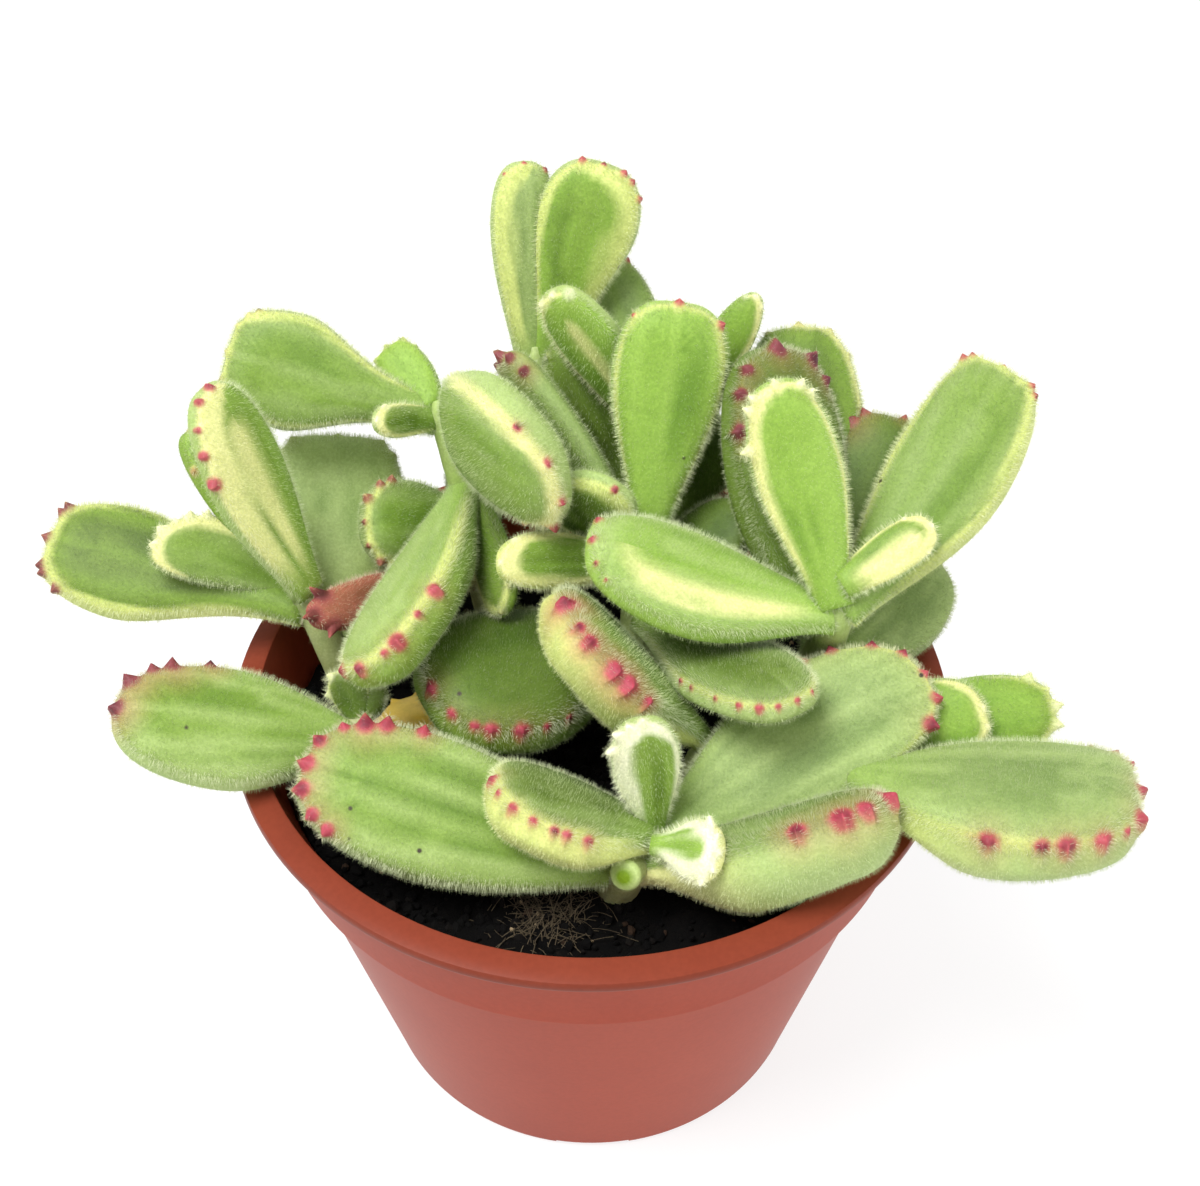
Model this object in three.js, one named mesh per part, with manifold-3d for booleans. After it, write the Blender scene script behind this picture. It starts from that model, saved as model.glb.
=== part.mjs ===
// Potted variegated cubs paw: a hairy succulent with toothed fleshy leaves in a small round nursery pot.
// Millimetres, +Z up. The pot's axis is Z and its base is at z = 0. The front faces -Y.
import * as THREE from "three";
import { mergeVertices } from "three/addons/utils/BufferGeometryUtils.js";
import Module from "manifold-3d";

const wasm = await Module();
wasm.setup();

// Pot
const rimRadius = 45;
const potHeight = 61.3;
const flangeWidth = 3.3;
const flangeDrop = 0.5;
const flangeLip = 2.2;
const collarRadius = 41.4;
const collarFoot = 46.8;
const bodyTopRadius = 39.9;
const baseRadius = 30.7;
const baseRound = 1.6;
const wallThickness = 1.5;
const floorThickness = 2.6;
const potSides = 48;
const grooveCount = 4;
const grooveWidth = 10;
const grooveHeight = 1.2;
const grooveInner = 17;
const drainRadius = 2.6;
const drainAt = 22;
const drainSides = 12;

// Soil
const clearance = 0.3;
const soilTop = 52;
const soilWave = 0.7;
const soilSides = 32;
const soilRings = [38.4, 30, 20, 10];
const gritCount = 12;
const gritSeed = 7;
const gritNear = 12;
const gritSpread = 23;
const gritSize = 0.9;
const holeHeight = 6;

// Leaves: shared shape of every blade
const shoulder = 0.62;
const bluntness = 0.72;
const fullness = 0.85;
const stalkWidth = 4.5;
const toothReach = 1.1;
const toothCount = 3;
const toothRise = 0.15;
const firstTooth = 0.57;
const crownShare = 0.13;
const bellyShare = 0.38;
const spineStart = 0.06;
const spineEnd = 0.8;
const fullestAt = 0.45;
const slimFrom = 0.55;
const tipSlim = 0.22;
const stalkCrown = 0.38;
const stalkBelly = 0.42;
const crownRing = { reach: 0.8, rise: 0.6 };
const sideRing = { reach: 1.08, drop: 0.36 };
const bellyRing = { reach: 0.7, drop: 0.85 };
const plainEdge = [0, 0.2, 0.38, 0.52, 0.66, 0.8];
const placeGap = 0.04;
const stemSides = 8;

const up = new THREE.Vector3(0, 0, 1);
const smooth = (a) => a * a * (3 - 2 * a);
const clamp = THREE.MathUtils.clamp;
const radians = THREE.MathUtils.degToRad;

// A closed solid from a three.js geometry
function solid(geometry) {
  const bare = geometry.clone();
  bare.deleteAttribute("normal");
  bare.deleteAttribute("uv");
  const merged = mergeVertices(bare, 1e-4);
  return new wasm.Manifold(
    new wasm.Mesh({
      numProp: 3,
      vertProperties: new Float32Array(merged.attributes.position.array),
      triVerts: new Uint32Array(merged.index.array),
    }),
  );
}

// A geometry from points and triangles
function geometryOf(points, faces) {
  const geometry = new THREE.BufferGeometry();
  const flat = points.flatMap((p) => [p.x, p.y, p.z]);
  geometry.setAttribute("position", new THREE.Float32BufferAttribute(flat, 3));
  geometry.setIndex(faces.flat());
  return geometry;
}

function joined(solids) {
  return solids.reduce((all, next) => all.add(next));
}

const plant = new THREE.Group();
plant.name = "potted_cubs_paw";

function place(name, body, color, roughness) {
  const mesh = body.getMesh();
  const geometry = new THREE.BufferGeometry();
  geometry.setAttribute("position", new THREE.Float32BufferAttribute(mesh.vertProperties, 3));
  geometry.setIndex(Array.from(mesh.triVerts));
  geometry.computeVertexNormals();
  const material = new THREE.MeshStandardMaterial({ color, roughness, metalness: 0 });
  const node = new THREE.Mesh(geometry, material);
  node.name = name;
  plant.add(node);
}

// A closed ring of revolution about Z, from a profile listed as radius and height
function turned(profile, sides) {
  const points = profile.map(([r, z]) => new THREE.Vector2(r, z));
  points.push(points[0].clone());
  return solid(new THREE.LatheGeometry(points, sides).rotateX(Math.PI / 2));
}

function rod(radius, low, high, x, y, sides) {
  const shape = new THREE.CylinderGeometry(radius, radius, high - low, sides);
  return solid(shape.rotateX(Math.PI / 2).translate(x, y, (low + high) / 2));
}

// Pot: thin wall, flat rim flange with a short lip, collar with a step, floor with drain grooves
const potInside = collarRadius - wallThickness;
const bodyInside = bodyTopRadius - wallThickness;
const baseInside = baseRadius - wallThickness;
const outer = [
  [0, 0],
  [baseRadius - baseRound, 0],
  [baseRadius - 0.3 * baseRound, 0.3 * baseRound],
  [baseRadius + 0.1, baseRound],
  [bodyTopRadius, collarFoot - 0.6],
  [collarRadius, collarFoot + 0.6],
  [collarRadius + 0.2, potHeight - flangeLip],
  [rimRadius - 0.6, potHeight - flangeLip],
  [rimRadius, potHeight - flangeLip + 0.5],
  [rimRadius, potHeight - flangeDrop - 0.4],
  [rimRadius - 0.4, potHeight - flangeDrop],
  [rimRadius - flangeWidth + 0.5, potHeight],
  [rimRadius - flangeWidth, potHeight - 0.4],
];
const inner = [
  [potInside, potHeight - 6],
  [potInside - 0.1, collarFoot + 2],
  [bodyInside, collarFoot - 1],
  [baseInside, floorThickness + 0.5],
  [baseInside - 1, floorThickness],
  [0, floorThickness],
];
let pot = turned([...outer, ...inner], potSides);
for (let i = 0; i < grooveCount; i++) {
  const turn = (i * 2 * Math.PI) / grooveCount - Math.PI / 2;
  const length = baseRadius + 3 - grooveInner;
  const box = new THREE.BoxGeometry(length, grooveWidth, 2 * grooveHeight);
  const groove = solid(box.translate(grooveInner + length / 2, 0, 0).rotateZ(turn));
  const x = drainAt * Math.cos(turn);
  const y = drainAt * Math.sin(turn);
  pot = pot.subtract(groove).subtract(rod(drainRadius, -1, floorThickness + 1, x, y, drainSides));
}
place("pot", pot, 0xaf5f52, 0.55);

// Soil level by a smooth formula of the place
function soilHeight(x, y) {
  const wave = Math.sin(0.19 * x + 1) * Math.cos(0.23 * y - 0.5) + 0.6 * Math.sin(0.31 * (x + y));
  return soilTop + soilWave * wave;
}

// Stems: each bends through points given as x, y, z and radius
function tube(path, sides) {
  const points = [];
  path.forEach(([x, y, z, r], i) => {
    const before = path[Math.max(i - 1, 0)];
    const after = path[Math.min(i + 1, path.length - 1)];
    const way = new THREE.Vector3(after[0] - before[0], after[1] - before[1], after[2] - before[2]);
    const turn = new THREE.Quaternion().setFromUnitVectors(up, way.normalize());
    for (let k = 0; k < sides; k++) {
      const a = (2 * Math.PI * k) / sides;
      const spoke = new THREE.Vector3(r * Math.cos(a), r * Math.sin(a), 0).applyQuaternion(turn);
      points.push(spoke.add(new THREE.Vector3(x, y, z)));
    }
  });
  const faces = [];
  for (let i = 0; i + 1 < path.length; i++) {
    for (let k = 0; k < sides; k++) {
      const a = i * sides + k;
      const b = i * sides + ((k + 1) % sides);
      faces.push([a, b, b + sides], [a, b + sides, a + sides]);
    }
  }
  const last = (path.length - 1) * sides;
  for (let k = 1; k + 1 < sides; k++) {
    faces.push([0, k + 1, k], [last, last + k, last + k + 1]);
  }
  return solid(geometryOf(points, faces));
}

// Half width and distance along the blade at a share s of the way round one side, from base to tip
function margin(s, blade) {
  if (s < 0.5) {
    const a = s / 0.5;
    const rise = smooth(a ** blade.full);
    return [blade.shoulder * a * blade.long, (blade.stalk + (blade.wide - blade.stalk) * rise) / 2];
  }
  const turn = Math.min((s - 0.5) * Math.PI, Math.PI / 2);
  const along = blade.shoulder + (1 - blade.shoulder) * Math.sin(turn);
  return [along * blade.long, (blade.wide / 2) * Math.max(Math.cos(turn), 0) ** blade.blunt];
}

// Thickness along the blade: thin at the stalk, fullest before the middle, a little less at the tip
function swell(u) {
  const slimming = clamp((u - slimFrom) / (1 - slimFrom), 0, 1);
  return smooth(clamp(u / fullestAt, 0, 1)) * (1 - tipSlim * slimming);
}

// Frame of a blade: d runs to the tip, side to its right, face is the upper side
function bladeFrame(from, to, roll) {
  const d = to.clone().sub(from).normalize();
  const level = d.clone().cross(up).normalize();
  const raised = level.clone().cross(d);
  const c = Math.cos(radians(roll));
  const s = Math.sin(radians(roll));
  const side = level.multiplyScalar(c).add(raised.multiplyScalar(s));
  return { d, side, face: side.clone().cross(d) };
}

// Moves a flat blade point to its bowed and arched place on the plant
function bend(x, y, z, blade) {
  const share = x / blade.long;
  const across = y + blade.bow * 4 * share * (1 - share);
  if (Math.abs(blade.arch) < 0.1) return [x, across, z];
  const sweep = radians(blade.arch);
  const radius = blade.long / (2 * Math.sin(sweep / 2));
  const a = share * sweep - sweep / 2;
  return [
    radius * Math.sin(sweep / 2) + (radius - z) * Math.sin(a),
    across,
    radius * Math.cos(sweep / 2) - (radius - z) * Math.cos(a),
  ];
}

// One fleshy leaf: blunt outline with claws round the tip, low crown above and a deep belly below
function leaf(from, to, wide, roll, more = {}) {
  const start = new THREE.Vector3(...from);
  const end = new THREE.Vector3(...to);
  const blade = {
    wide,
    long: start.distanceTo(end),
    stalk: stalkWidth,
    teeth: toothCount,
    first: firstTooth,
    tooth: toothReach,
    full: fullness,
    blunt: bluntness,
    shoulder,
    crown: crownShare * wide,
    deep: bellyShare * wide,
    arch: 0,
    bow: 0,
    ...more,
  };
  const frame = bladeFrame(start, end, roll);

  const { first, teeth, right = teeth, left = teeth } = blade;
  const places = plainEdge.filter((s) => s < first - placeGap).map((s) => ({ s, order: 0 }));
  const step = (1 - first) / (teeth + 0.5);
  for (let i = 0; i < teeth; i++) {
    places.push({ s: first + step * i, order: 0 });
    places.push({ s: first + step * (i + 0.5), order: teeth - i });
  }
  places.push({ s: first + step * teeth, order: 0 });
  const side = (sign, claws) =>
    places.map(({ s, order }) => {
      const [x, y] = margin(s, blade);
      return [x, sign * y, order > 0 && order <= claws];
    });
  const edge = [...side(1, right), [blade.long, 0, true], ...side(-1, left).reverse()];

  const rings = [[], [], [], [], [], []];
  for (const [x, y, claw] of edge) {
    const spine = clamp(x, spineStart * blade.long, spineEnd * blade.long);
    const body = swell(spine / blade.long);
    const above = stalkCrown * blade.stalk * (1 - body) + blade.crown * body;
    const below = stalkBelly * blade.stalk * (1 - body) + blade.deep * body;
    const reach = Math.hypot(x - spine, y);
    const out = claw ? 1 + blade.tooth / reach : 1;
    const at = (share, z) => [spine + (x - spine) * share, y * share, z];
    rings[0].push(at(out, claw ? toothRise * blade.tooth : 0));
    rings[1].push(at(crownRing.reach, crownRing.rise * above));
    rings[2].push(at(0, above));
    rings[3].push(at(sideRing.reach, -sideRing.drop * below));
    rings[4].push(at(bellyRing.reach, -bellyRing.drop * below));
    rings[5].push(at(0, -below));
  }
  const points = rings.flat().map(([x, y, z]) => {
    const [bx, by, bz] = bend(x, y, z, blade);
    const point = start.clone().addScaledVector(frame.d, bx);
    return point.addScaledVector(frame.side, by).addScaledVector(frame.face, bz);
  });
  const n = edge.length;
  const faces = [];
  const band = (a, b, flipped) => {
    for (let i = 0; i < n; i++) {
      const j = (i + 1) % n;
      const one = [a * n + i, a * n + j, b * n + j];
      const two = [a * n + i, b * n + j, b * n + i];
      faces.push(flipped ? one.reverse() : one, flipped ? two.reverse() : two);
    }
  };
  band(0, 1, false);
  band(1, 2, false);
  band(0, 3, true);
  band(3, 4, true);
  band(4, 5, true);
  return solid(geometryOf(points, faces));
}

const stems = [];

// A leafy stem: the stem rooted in the soil and its leaves, grown together as one body
function shoot(name, color, stem, leaves) {
  stems.push(stem);
  place(name, joined([tube(stem, stemSides), ...leaves]), color, 0.7);
}

const sage = 0x9db579;
const fresh = 0x9fbf62;
const small = { teeth: 3, stalk: 3.5 };
const tiny = { teeth: 2, stalk: 3, tooth: 0.6 };

shoot(
  "left_shoot",
  sage,
  [
    [-30, 2, 47, 2.3],
    [-32, 3.5, 59, 2.2],
    [-36, 5.5, 72, 1.7],
  ],
  [
    leaf([-36, 5, 69], [-68, 11.5, 75], 14, 26, {
      teeth: 3, first: 0.72, right: 2, full: 1.5, shoulder: 0.7, arch: 6, blunt: 0.6, deep: 4.5,
    }),
    leaf([-36.5, 7, 69.5], [-53.3, 6.5, 78.3], 8.2, 40, {
      teeth: 5, first: 0.45, left: 0, stalk: 3.5, bow: 1.8, tooth: 0.9,
    }),
    leaf([-35, 5, 71.5], [-43.7, 10, 98.7], 11.5, -6, {
      teeth: 4, first: 0.5, right: 0, deep: 3.4, tooth: 1,
    }),
    leaf([-37, 8, 71], [-49.6, 18.6, 86.4], 7.5, -20, { teeth: 1, stalk: 3, tooth: 0.6 }),
    leaf([-33, 5, 63], [-33, 26, 80], 16.5, -10, { full: 0.6, shoulder: 0.7, tooth: 0.5, blunt: 0.45 }),
  ],
);

shoot(
  "back_left_shoot",
  sage,
  [
    [-13, 22, 47, 2.6],
    [-15, 19, 66, 2.4],
    [-16, 18, 78, 2.1],
    [-19, 20, 90, 1.5],
  ],
  [
    leaf([-19, 20, 87.5], [-44.3, 22.5, 95.5], 13.7, 50, {
      teeth: 3, first: 0.7, full: 1.6, shoulder: 0.7, blunt: 0.55, tooth: 0.7,
    }),
    leaf([-16, 21, 88.5], [-3.6, -0.8, 91], 13.8, -90, {
      teeth: 2, first: 0.62, arch: -75, bow: -3.4, crown: 2.5, deep: 7, full: 0.5, tooth: 0.9,
    }),
    leaf([-19.5, 20, 89], [-25.5, 27, 93], 6, 30, { ...tiny, blunt: 0.5, full: 0.6 }),
    leaf([-19.5, 19.5, 87.5], [-25.5, 13, 92], 4, 65, { teeth: 1, stalk: 3, tooth: 0.3 }),
    leaf([-16, 18, 78], [-26.2, -14, 77.5], 13, -38, {
      teeth: 4, first: 0.5, right: 1, deep: 6, tooth: 0.9,
    }),
    leaf([-14.5, 18.5, 70.5], [-28, 11.5, 77.5], 11, 50),
    leaf([-15, 17, 77], [-11, 0, 73], 6.5, -60, { teeth: 1, stalk: 3.5, tooth: 0.4 }),
    leaf([-15.5, 18.5, 63], [-33.4, -1.2, 73.6], 6, 45, { deep: 2.6, tooth: 1.9, teeth: 1, full: 1.3 }),
    leaf([-15, 20, 68], [-16, 40, 69], 8.5, 0, { teeth: 3 }),
  ],
);

shoot(
  "tall_shoot",
  sage,
  [
    [-4, 26, 47, 2.4],
    [-6, 28, 70, 2.2],
    [-7, 29, 92, 1.7],
  ],
  [
    leaf([-7, 29, 88], [-8, 37.5, 112.5], 8.5, -12, { teeth: 1, first: 0.8, shoulder: 0.68, tooth: 0.5 }),
    leaf([-6, 29, 89], [1.6, 36, 113], 12, -41, {
      teeth: 3, first: 0.68, left: 1, full: 1.2, shoulder: 0.74, deep: 3.6, tooth: 0.9,
    }),
    leaf([-5.5, 27.5, 68], [-2.5, 47, 75.5], 12, 0, { teeth: 3 }),
    leaf([-6.5, 28.5, 80], [-4, 42, 88], 7, 0, small),
  ],
);

shoot(
  "back_shoot",
  sage,
  [
    [9, 23, 47, 2.4],
    [9, 21, 70, 2.2],
    [8.5, 20, 87, 1.7],
  ],
  [
    leaf([8, 21, 80], [2.2, 38, 99.2], 9.4, 20, { teeth: 1, first: 0.74, blunt: 0.95 }),
    leaf([8, 20.2, 85], [-4.5, 20.8, 104.4], 8, 105, { teeth: 1, first: 0.8, tooth: 0.4 }),
    leaf([9.5, 20, 83], [20.2, 25.5, 101.3], 5.5, -50, { teeth: 1, first: 0.8, tooth: 0.3, blunt: 0.95 }),
    leaf([7.5, 20, 74], [-3, 24, 95.5], 11, 60),
    leaf([10, 20, 72], [15.5, 21, 86], 11, -60),
    leaf([9, 21.5, 66], [13, 45, 71], 12.5, 0, { teeth: 3 }),
  ],
);

shoot(
  "middle_shoot",
  fresh,
  [
    [7, 9, 47, 2.6],
    [6, 4, 66, 2.4],
    [6, 6, 81, 1.7],
  ],
  [
    leaf([7, 7, 79], [10.4, 19.2, 104], 13, -12, {
      teeth: 1, first: 0.68, full: 1, shoulder: 0.7, deep: 3.6, blunt: 0.6, tooth: 0.8,
    }),
    leaf([5, 7.5, 75], [-10.8, 20.6, 95.5], 9.5, 105, { teeth: 2, first: 0.72, left: 1, tooth: 1.4 }),
    leaf([4, 5.5, 78], [-3.2, 5.5, 88.7], 12, 115, { teeth: 1, stalk: 3, tooth: 0.5, deep: 3 }),
    leaf([5, 3.5, 77], [-10.3, -3.5, 84], 6.5, 50, { teeth: 1, stalk: 3.5, bow: 0.6, tooth: 0.3 }),
    leaf([5, 3.5, 65], [-18.8, -10.6, 70.5], 19, 8, {
      teeth: 6, first: 0.36, right: 0, full: 0.7, deep: 8.5, tooth: 0.6,
    }),
    leaf([7, 5.5, 72], [19, 11, 80], 9, -10, { teeth: 0, first: 0.85, tooth: 0.4, deep: 3 }),
    leaf([6.8, 3, 69], [22.6, -19.8, 78.1], 13, 5, {
      teeth: 6, first: 0.4, left: 1, deep: 3.9, full: 1, tooth: 0.6,
    }),
  ],
);

shoot(
  "right_shoot",
  sage,
  [
    [26, -2, 47, 2.7],
    [28.3, -1.4, 66, 2.5],
    [29, -6, 79, 1.9],
  ],
  [
    leaf([29, -6, 78], [49.4, 17, 96.7], 13.5, -10, {
      teeth: 2, first: 0.78, bow: 1.2, blunt: 0.5, tooth: 0.8,
    }),
    leaf([28.5, -5.5, 77.5], [0.5, -5.5, 89], 14, 10, {
      teeth: 2, first: 0.76, right: 1, deep: 4, arch: 20, tooth: 0.6,
    }),
    leaf([28.6, -6, 79], [20.6, 5, 102.7], 9.7, 33, {
      teeth: 3, first: 0.58, right: 2, full: 1, blunt: 0.7, tooth: 1.3,
    }),
    leaf([28.8, -6, 82.5], [39, -2, 88.2], 5.4, -30, { teeth: 1, stalk: 3.5, blunt: 0.6, tooth: 0.3 }),
    leaf([28, -3, 72], [22, 18, 98.8], 16, -20, { teeth: 3, first: 0.5, right: 2, full: 0.6 }),
    leaf([29, -2, 72], [38.5, 17, 89], 14.5, -12, { teeth: 2, first: 0.7, blunt: 0.5, tooth: 1.4 }),
    leaf([29, -4, 67], [45, 13, 69], 12.5, -25, { teeth: 0, first: 0.85, blunt: 0.8, tooth: 0.4 }),
    leaf([27, 0, 73], [26, 27.5, 95.6], 14.5, 5, {
      teeth: 2, first: 0.66, full: 0.7, blunt: 0.6, tooth: 0.8,
    }),
    leaf([28, -1.5, 65], [38, 23, 68], 12, 0, { teeth: 3 }),
  ],
);

// A side branch of the front shoot, low under its leaves
const lowBranch = [
  [3.5, -26, 56, 2],
  [16, -21, 57, 2.2],
  [26, -16.5, 59.5, 2.1],
  [30, -19, 66, 1.8],
];

shoot(
  "front_shoot",
  sage,
  [
    [2, -24, 47, 2.8],
    [4, -27, 57, 2.5],
    [7, -26, 63, 1.8],
  ],
  [
    leaf([7, -26.4, 60], [38.6, -11.2, 73.3], 16.2, -20, {
      teeth: 4, first: 0.5, right: 2, bow: -1.4, crown: 1.2,
    }),
    leaf([7, -26, 62], [-10.8, -24.7, 70.3], 15.6, -27, {
      teeth: 6, first: 0.3, right: 0, deep: 5.6, full: 0.6, tooth: 0.7,
    }),
    leaf([5, -27.5, 58], [32.2, -28.6, 71.6], 16, 44, { teeth: 3, first: 0.55, left: 0, deep: 8.2 }),
    leaf([2.5, -27.5, 58.4], [-32.5, -20.8, 68.8], 16, 28, {
      teeth: 5, first: 0.52, left: 3, full: 0.65, tooth: 1.2,
    }),
    leaf([7, -25, 62], [5.6, -24.5, 79.2], 7.2, 65, {
      teeth: 3, first: 0.62, right: 0, stalk: 3, tooth: 0.9,
    }),
    leaf([7, -29, 64.2], [13.4, -34.2, 69.4], 6.6, -45, { teeth: 2, stalk: 2.6, full: 1.3, tooth: 0.9 }),
    tube([[5.2, -28.2, 59.6, 1.5], [3.5, -32, 62.3, 1.9]], stemSides),
    tube(lowBranch, stemSides),
    leaf([29.5, -20, 65.5], [61, -25.5, 69], 20, 15, {
      teeth: 6, first: 0.36, left: 3, deep: 8.4, full: 0.7, arch: -20, bow: 3.5, blunt: 0.5,
    }),
    leaf([29, -15, 63.5], [55, -11, 67.5], 10.5, -40, {
      teeth: 2, first: 0.72, stalk: 3.5, deep: 2.2, tooth: 1.1,
    }),
    leaf([29, -15, 62], [45.8, -13.5, 70], 10.5, -40, {
      teeth: 1, first: 0.84, left: 0, stalk: 3.5, tooth: 0.4,
    }),
  ],
);

shoot(
  "inner_front_shoot",
  fresh,
  [
    [12, -12, 47, 2.5],
    [13.6, -13.8, 63.4, 2],
  ],
  [leaf([13.9, -12.8, 63.4], [-2.6, -11.2, 84.4], 16.6, -24, {
      teeth: 5, first: 0.4, right: 0, deep: 6.5, full: 1.1, stalk: 3.6, blunt: 0.5,
    })],
);

shoot(
  "low_left_shoot",
  sage,
  [
    [-27, -5, 47, 2.4],
    [-28, -9, 60, 2.1],
    [-28.5, -10, 65, 1.8],
  ],
  [
    leaf([-28.5, -12, 63], [-54, -16, 73], 14, 20, {
      teeth: 4, first: 0.5, left: 0, deep: 6, full: 0.7, shoulder: 0.56, blunt: 0.8,
    }),
    leaf([-28, -9.5, 64], [-29.8, -6.4, 69.4], 5, 20, {
      teeth: 2, first: 0.45, stalk: 3, tooth: 0.7, deep: 2.2, crown: 1.4,
    }),
    leaf([-28, -9.5, 64], [-25.6, -7, 67.4], 3.6, -20, {
      teeth: 1, first: 0.6, stalk: 2.4, tooth: 0.5, deep: 1.6, crown: 1,
    }),
  ],
);

// An old yellow leaf lying on the soil
const fallen = leaf([-3, 2, 54.2], [-27, -1.5, 55], 9, 0, { teeth: 2, crown: 1, deep: 2.4 });
place("yellow_leaf", fallen, 0xd7b43c, 0.7);

// Soil: fills the pot, waved on top, with grit and a plain hole for each stem
const soilPoints = [];
const soilFaces = [];
const soilWalls = [
  [baseInside - clearance - 1, floorThickness + clearance],
  [baseInside - clearance, floorThickness + 2],
  [bodyInside - clearance, collarFoot - 1.4],
];
const soilLevels = [...soilWalls, ...soilRings.map((r) => [r, null])];
soilPoints.push(new THREE.Vector3(0, 0, floorThickness + clearance));
for (const [r, z] of soilLevels) {
  for (let k = 0; k < soilSides; k++) {
    const a = (2 * Math.PI * k) / soilSides;
    const x = r * Math.cos(a);
    const y = r * Math.sin(a);
    soilPoints.push(new THREE.Vector3(x, y, z ?? soilHeight(x, y)));
  }
}
soilPoints.push(new THREE.Vector3(0, 0, soilHeight(0, 0)));
const soilLast = soilPoints.length - 1;
for (let k = 0; k < soilSides; k++) {
  const j = (k + 1) % soilSides;
  soilFaces.push([0, 1 + j, 1 + k]);
  for (let i = 0; i + 1 < soilLevels.length; i++) {
    const a = 1 + i * soilSides;
    const b = a + soilSides;
    soilFaces.push([a + k, a + j, b + j], [a + k, b + j, b + k]);
  }
  soilFaces.push([soilLast - soilSides + k, soilLast - soilSides + j, soilLast]);
}
let soil = solid(geometryOf(soilPoints, soilFaces));

let state = gritSeed;
function draw() {
  state = (state * 16807) % 2147483647;
  return state / 2147483647;
}
const grit = [];
for (let i = 0; i < gritCount; i++) {
  const reach = gritNear + gritSpread * draw();
  const around = 2 * Math.PI * draw();
  const size = gritSize + gritSize * draw();
  const x = reach * Math.cos(around);
  const y = reach * Math.sin(around);
  const lump = new THREE.IcosahedronGeometry(size, 0).rotateX(draw()).rotateZ(3 * draw());
  grit.push(solid(lump.translate(x, y, soilHeight(x, y) + 0.2 * size)));
}
soil = joined([soil, ...grit]);
for (const stem of stems) {
  const [x0, y0, z0, r0] = stem[0];
  const [x1, y1, z1, r1] = stem[1];
  const high = soilTop + holeHeight;
  const share = (high - z0) / (z1 - z0);
  const top = [x0 + (x1 - x0) * share, y0 + (y1 - y0) * share, high, r1 + clearance + 0.1];
  soil = soil.subtract(tube([[x0, y0, z0 - clearance, r0 + clearance], top], stemSides));
}
place("soil", soil, 0x1d1916, 0.95);

export default plant;
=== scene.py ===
import math

import bmesh
import bpy
import numpy as np
from mathutils import Matrix, Vector


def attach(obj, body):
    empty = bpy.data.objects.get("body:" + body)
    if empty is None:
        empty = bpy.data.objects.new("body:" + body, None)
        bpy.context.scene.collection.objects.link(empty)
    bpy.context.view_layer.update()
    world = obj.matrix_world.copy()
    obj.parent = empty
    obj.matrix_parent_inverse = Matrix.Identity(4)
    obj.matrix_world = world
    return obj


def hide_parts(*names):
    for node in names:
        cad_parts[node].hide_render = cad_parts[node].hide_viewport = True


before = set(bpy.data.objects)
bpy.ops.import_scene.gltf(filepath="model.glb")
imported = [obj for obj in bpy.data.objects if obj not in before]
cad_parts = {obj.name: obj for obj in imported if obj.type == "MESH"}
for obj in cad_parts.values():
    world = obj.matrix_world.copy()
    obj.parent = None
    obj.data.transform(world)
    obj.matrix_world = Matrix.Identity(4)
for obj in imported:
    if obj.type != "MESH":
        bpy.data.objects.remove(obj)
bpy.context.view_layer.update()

MM = 0.001

# Soil and pot sizes, in millimetres, as in the part's source
RIM_RADIUS = 45.0
POT_HEIGHT = 61.3
FLANGE_WIDTH = 3.3
FLANGE_DROP = 0.5
FLANGE_LIP = 2.2
COLLAR_RADIUS = 41.4
COLLAR_FOOT = 46.8
BODY_TOP_RADIUS = 39.9
BASE_RADIUS = 30.7
BASE_ROUND = 1.6
FOOT_ROUND = 1.3
WALL = 1.5
POT_SIDES = 160
FLOOR = 2.6
GROOVE_COUNT = 4
GROOVE_WIDTH = 10.0
GROOVE_HEIGHT = 1.2
GROOVE_INNER = 17.0
DRAIN_RADIUS = 2.6
DRAIN_AT = 22.0
# Painted shade: how much the rim and the inside of the pot are darkened
RIM_PAINTED_SHADE = (0.64, 0.82, 0.95, 1)
INNER_PAINTED_SHADE = (0.55, 0.7, 0.9, 1)
SOIL_TOP = 52.0
SOIL_WAVE = 0.7
CLEARANCE = 0.3

# Leaf shape shared by all blades, as in the part's source
SHOULDER = 0.62
BLUNT = 0.72
FULL = 0.85
STALK = 4.5
TOOTH = 1.1
TEETH = 3
FIRST_TOOTH = 0.57
CROWN_SHARE = 0.13
BELLY_SHARE = 0.38
SPINE_START = 0.06
SPINE_END = 0.8
STALK_CROWN = 0.38
STALK_BELLY = 0.42

# Claws: how far each strays from its even place, relative sizes, the width of the foot in millimetres, and
# how far one stands out, up and beyond the margin. Mounds are claws that sit inside the margin.
CLAW_JITTER = 0.26
CLAW_SIZES = (0.55, 1.4)
CLAW_FOOT = 0.95
CLAW_REACH = 0.95
CLAW_LIFT = 0.15
CLAW_OUT = 0.5
MOUND = 0.35
MOUND_STRETCH = 0.3
USUAL_WIDTH = 12
FAR = 9.0

# Leaf mesh: points along the margin, crowded near claws, rings of the face and belly, and a slow ripple
MARGIN_POINTS = (26, 84)
POINTS_PER_MM = 2.4
POINTS_PER_CLAW = 3
EDGE_SAMPLES = 1600
CLAW_CROWD = 4.5
CLAW_NEAR = 0.9
UPPER_RINGS = (0.985, 0.96, 0.93, 0.89, 0.84, 0.76, 0.63, 0.45, 0.23, 0.0)
LOWER_TURNS = (0.05, 0.1, 0.17, 0.25, 0.36, 0.52, 0.7, 0.87, 1.0)
BELLY_POWER = 2 / 2.8
BELLY_BULGE = 0.1
RIPPLE = 0.22
RIPPLE_CELL = 4.5

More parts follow.
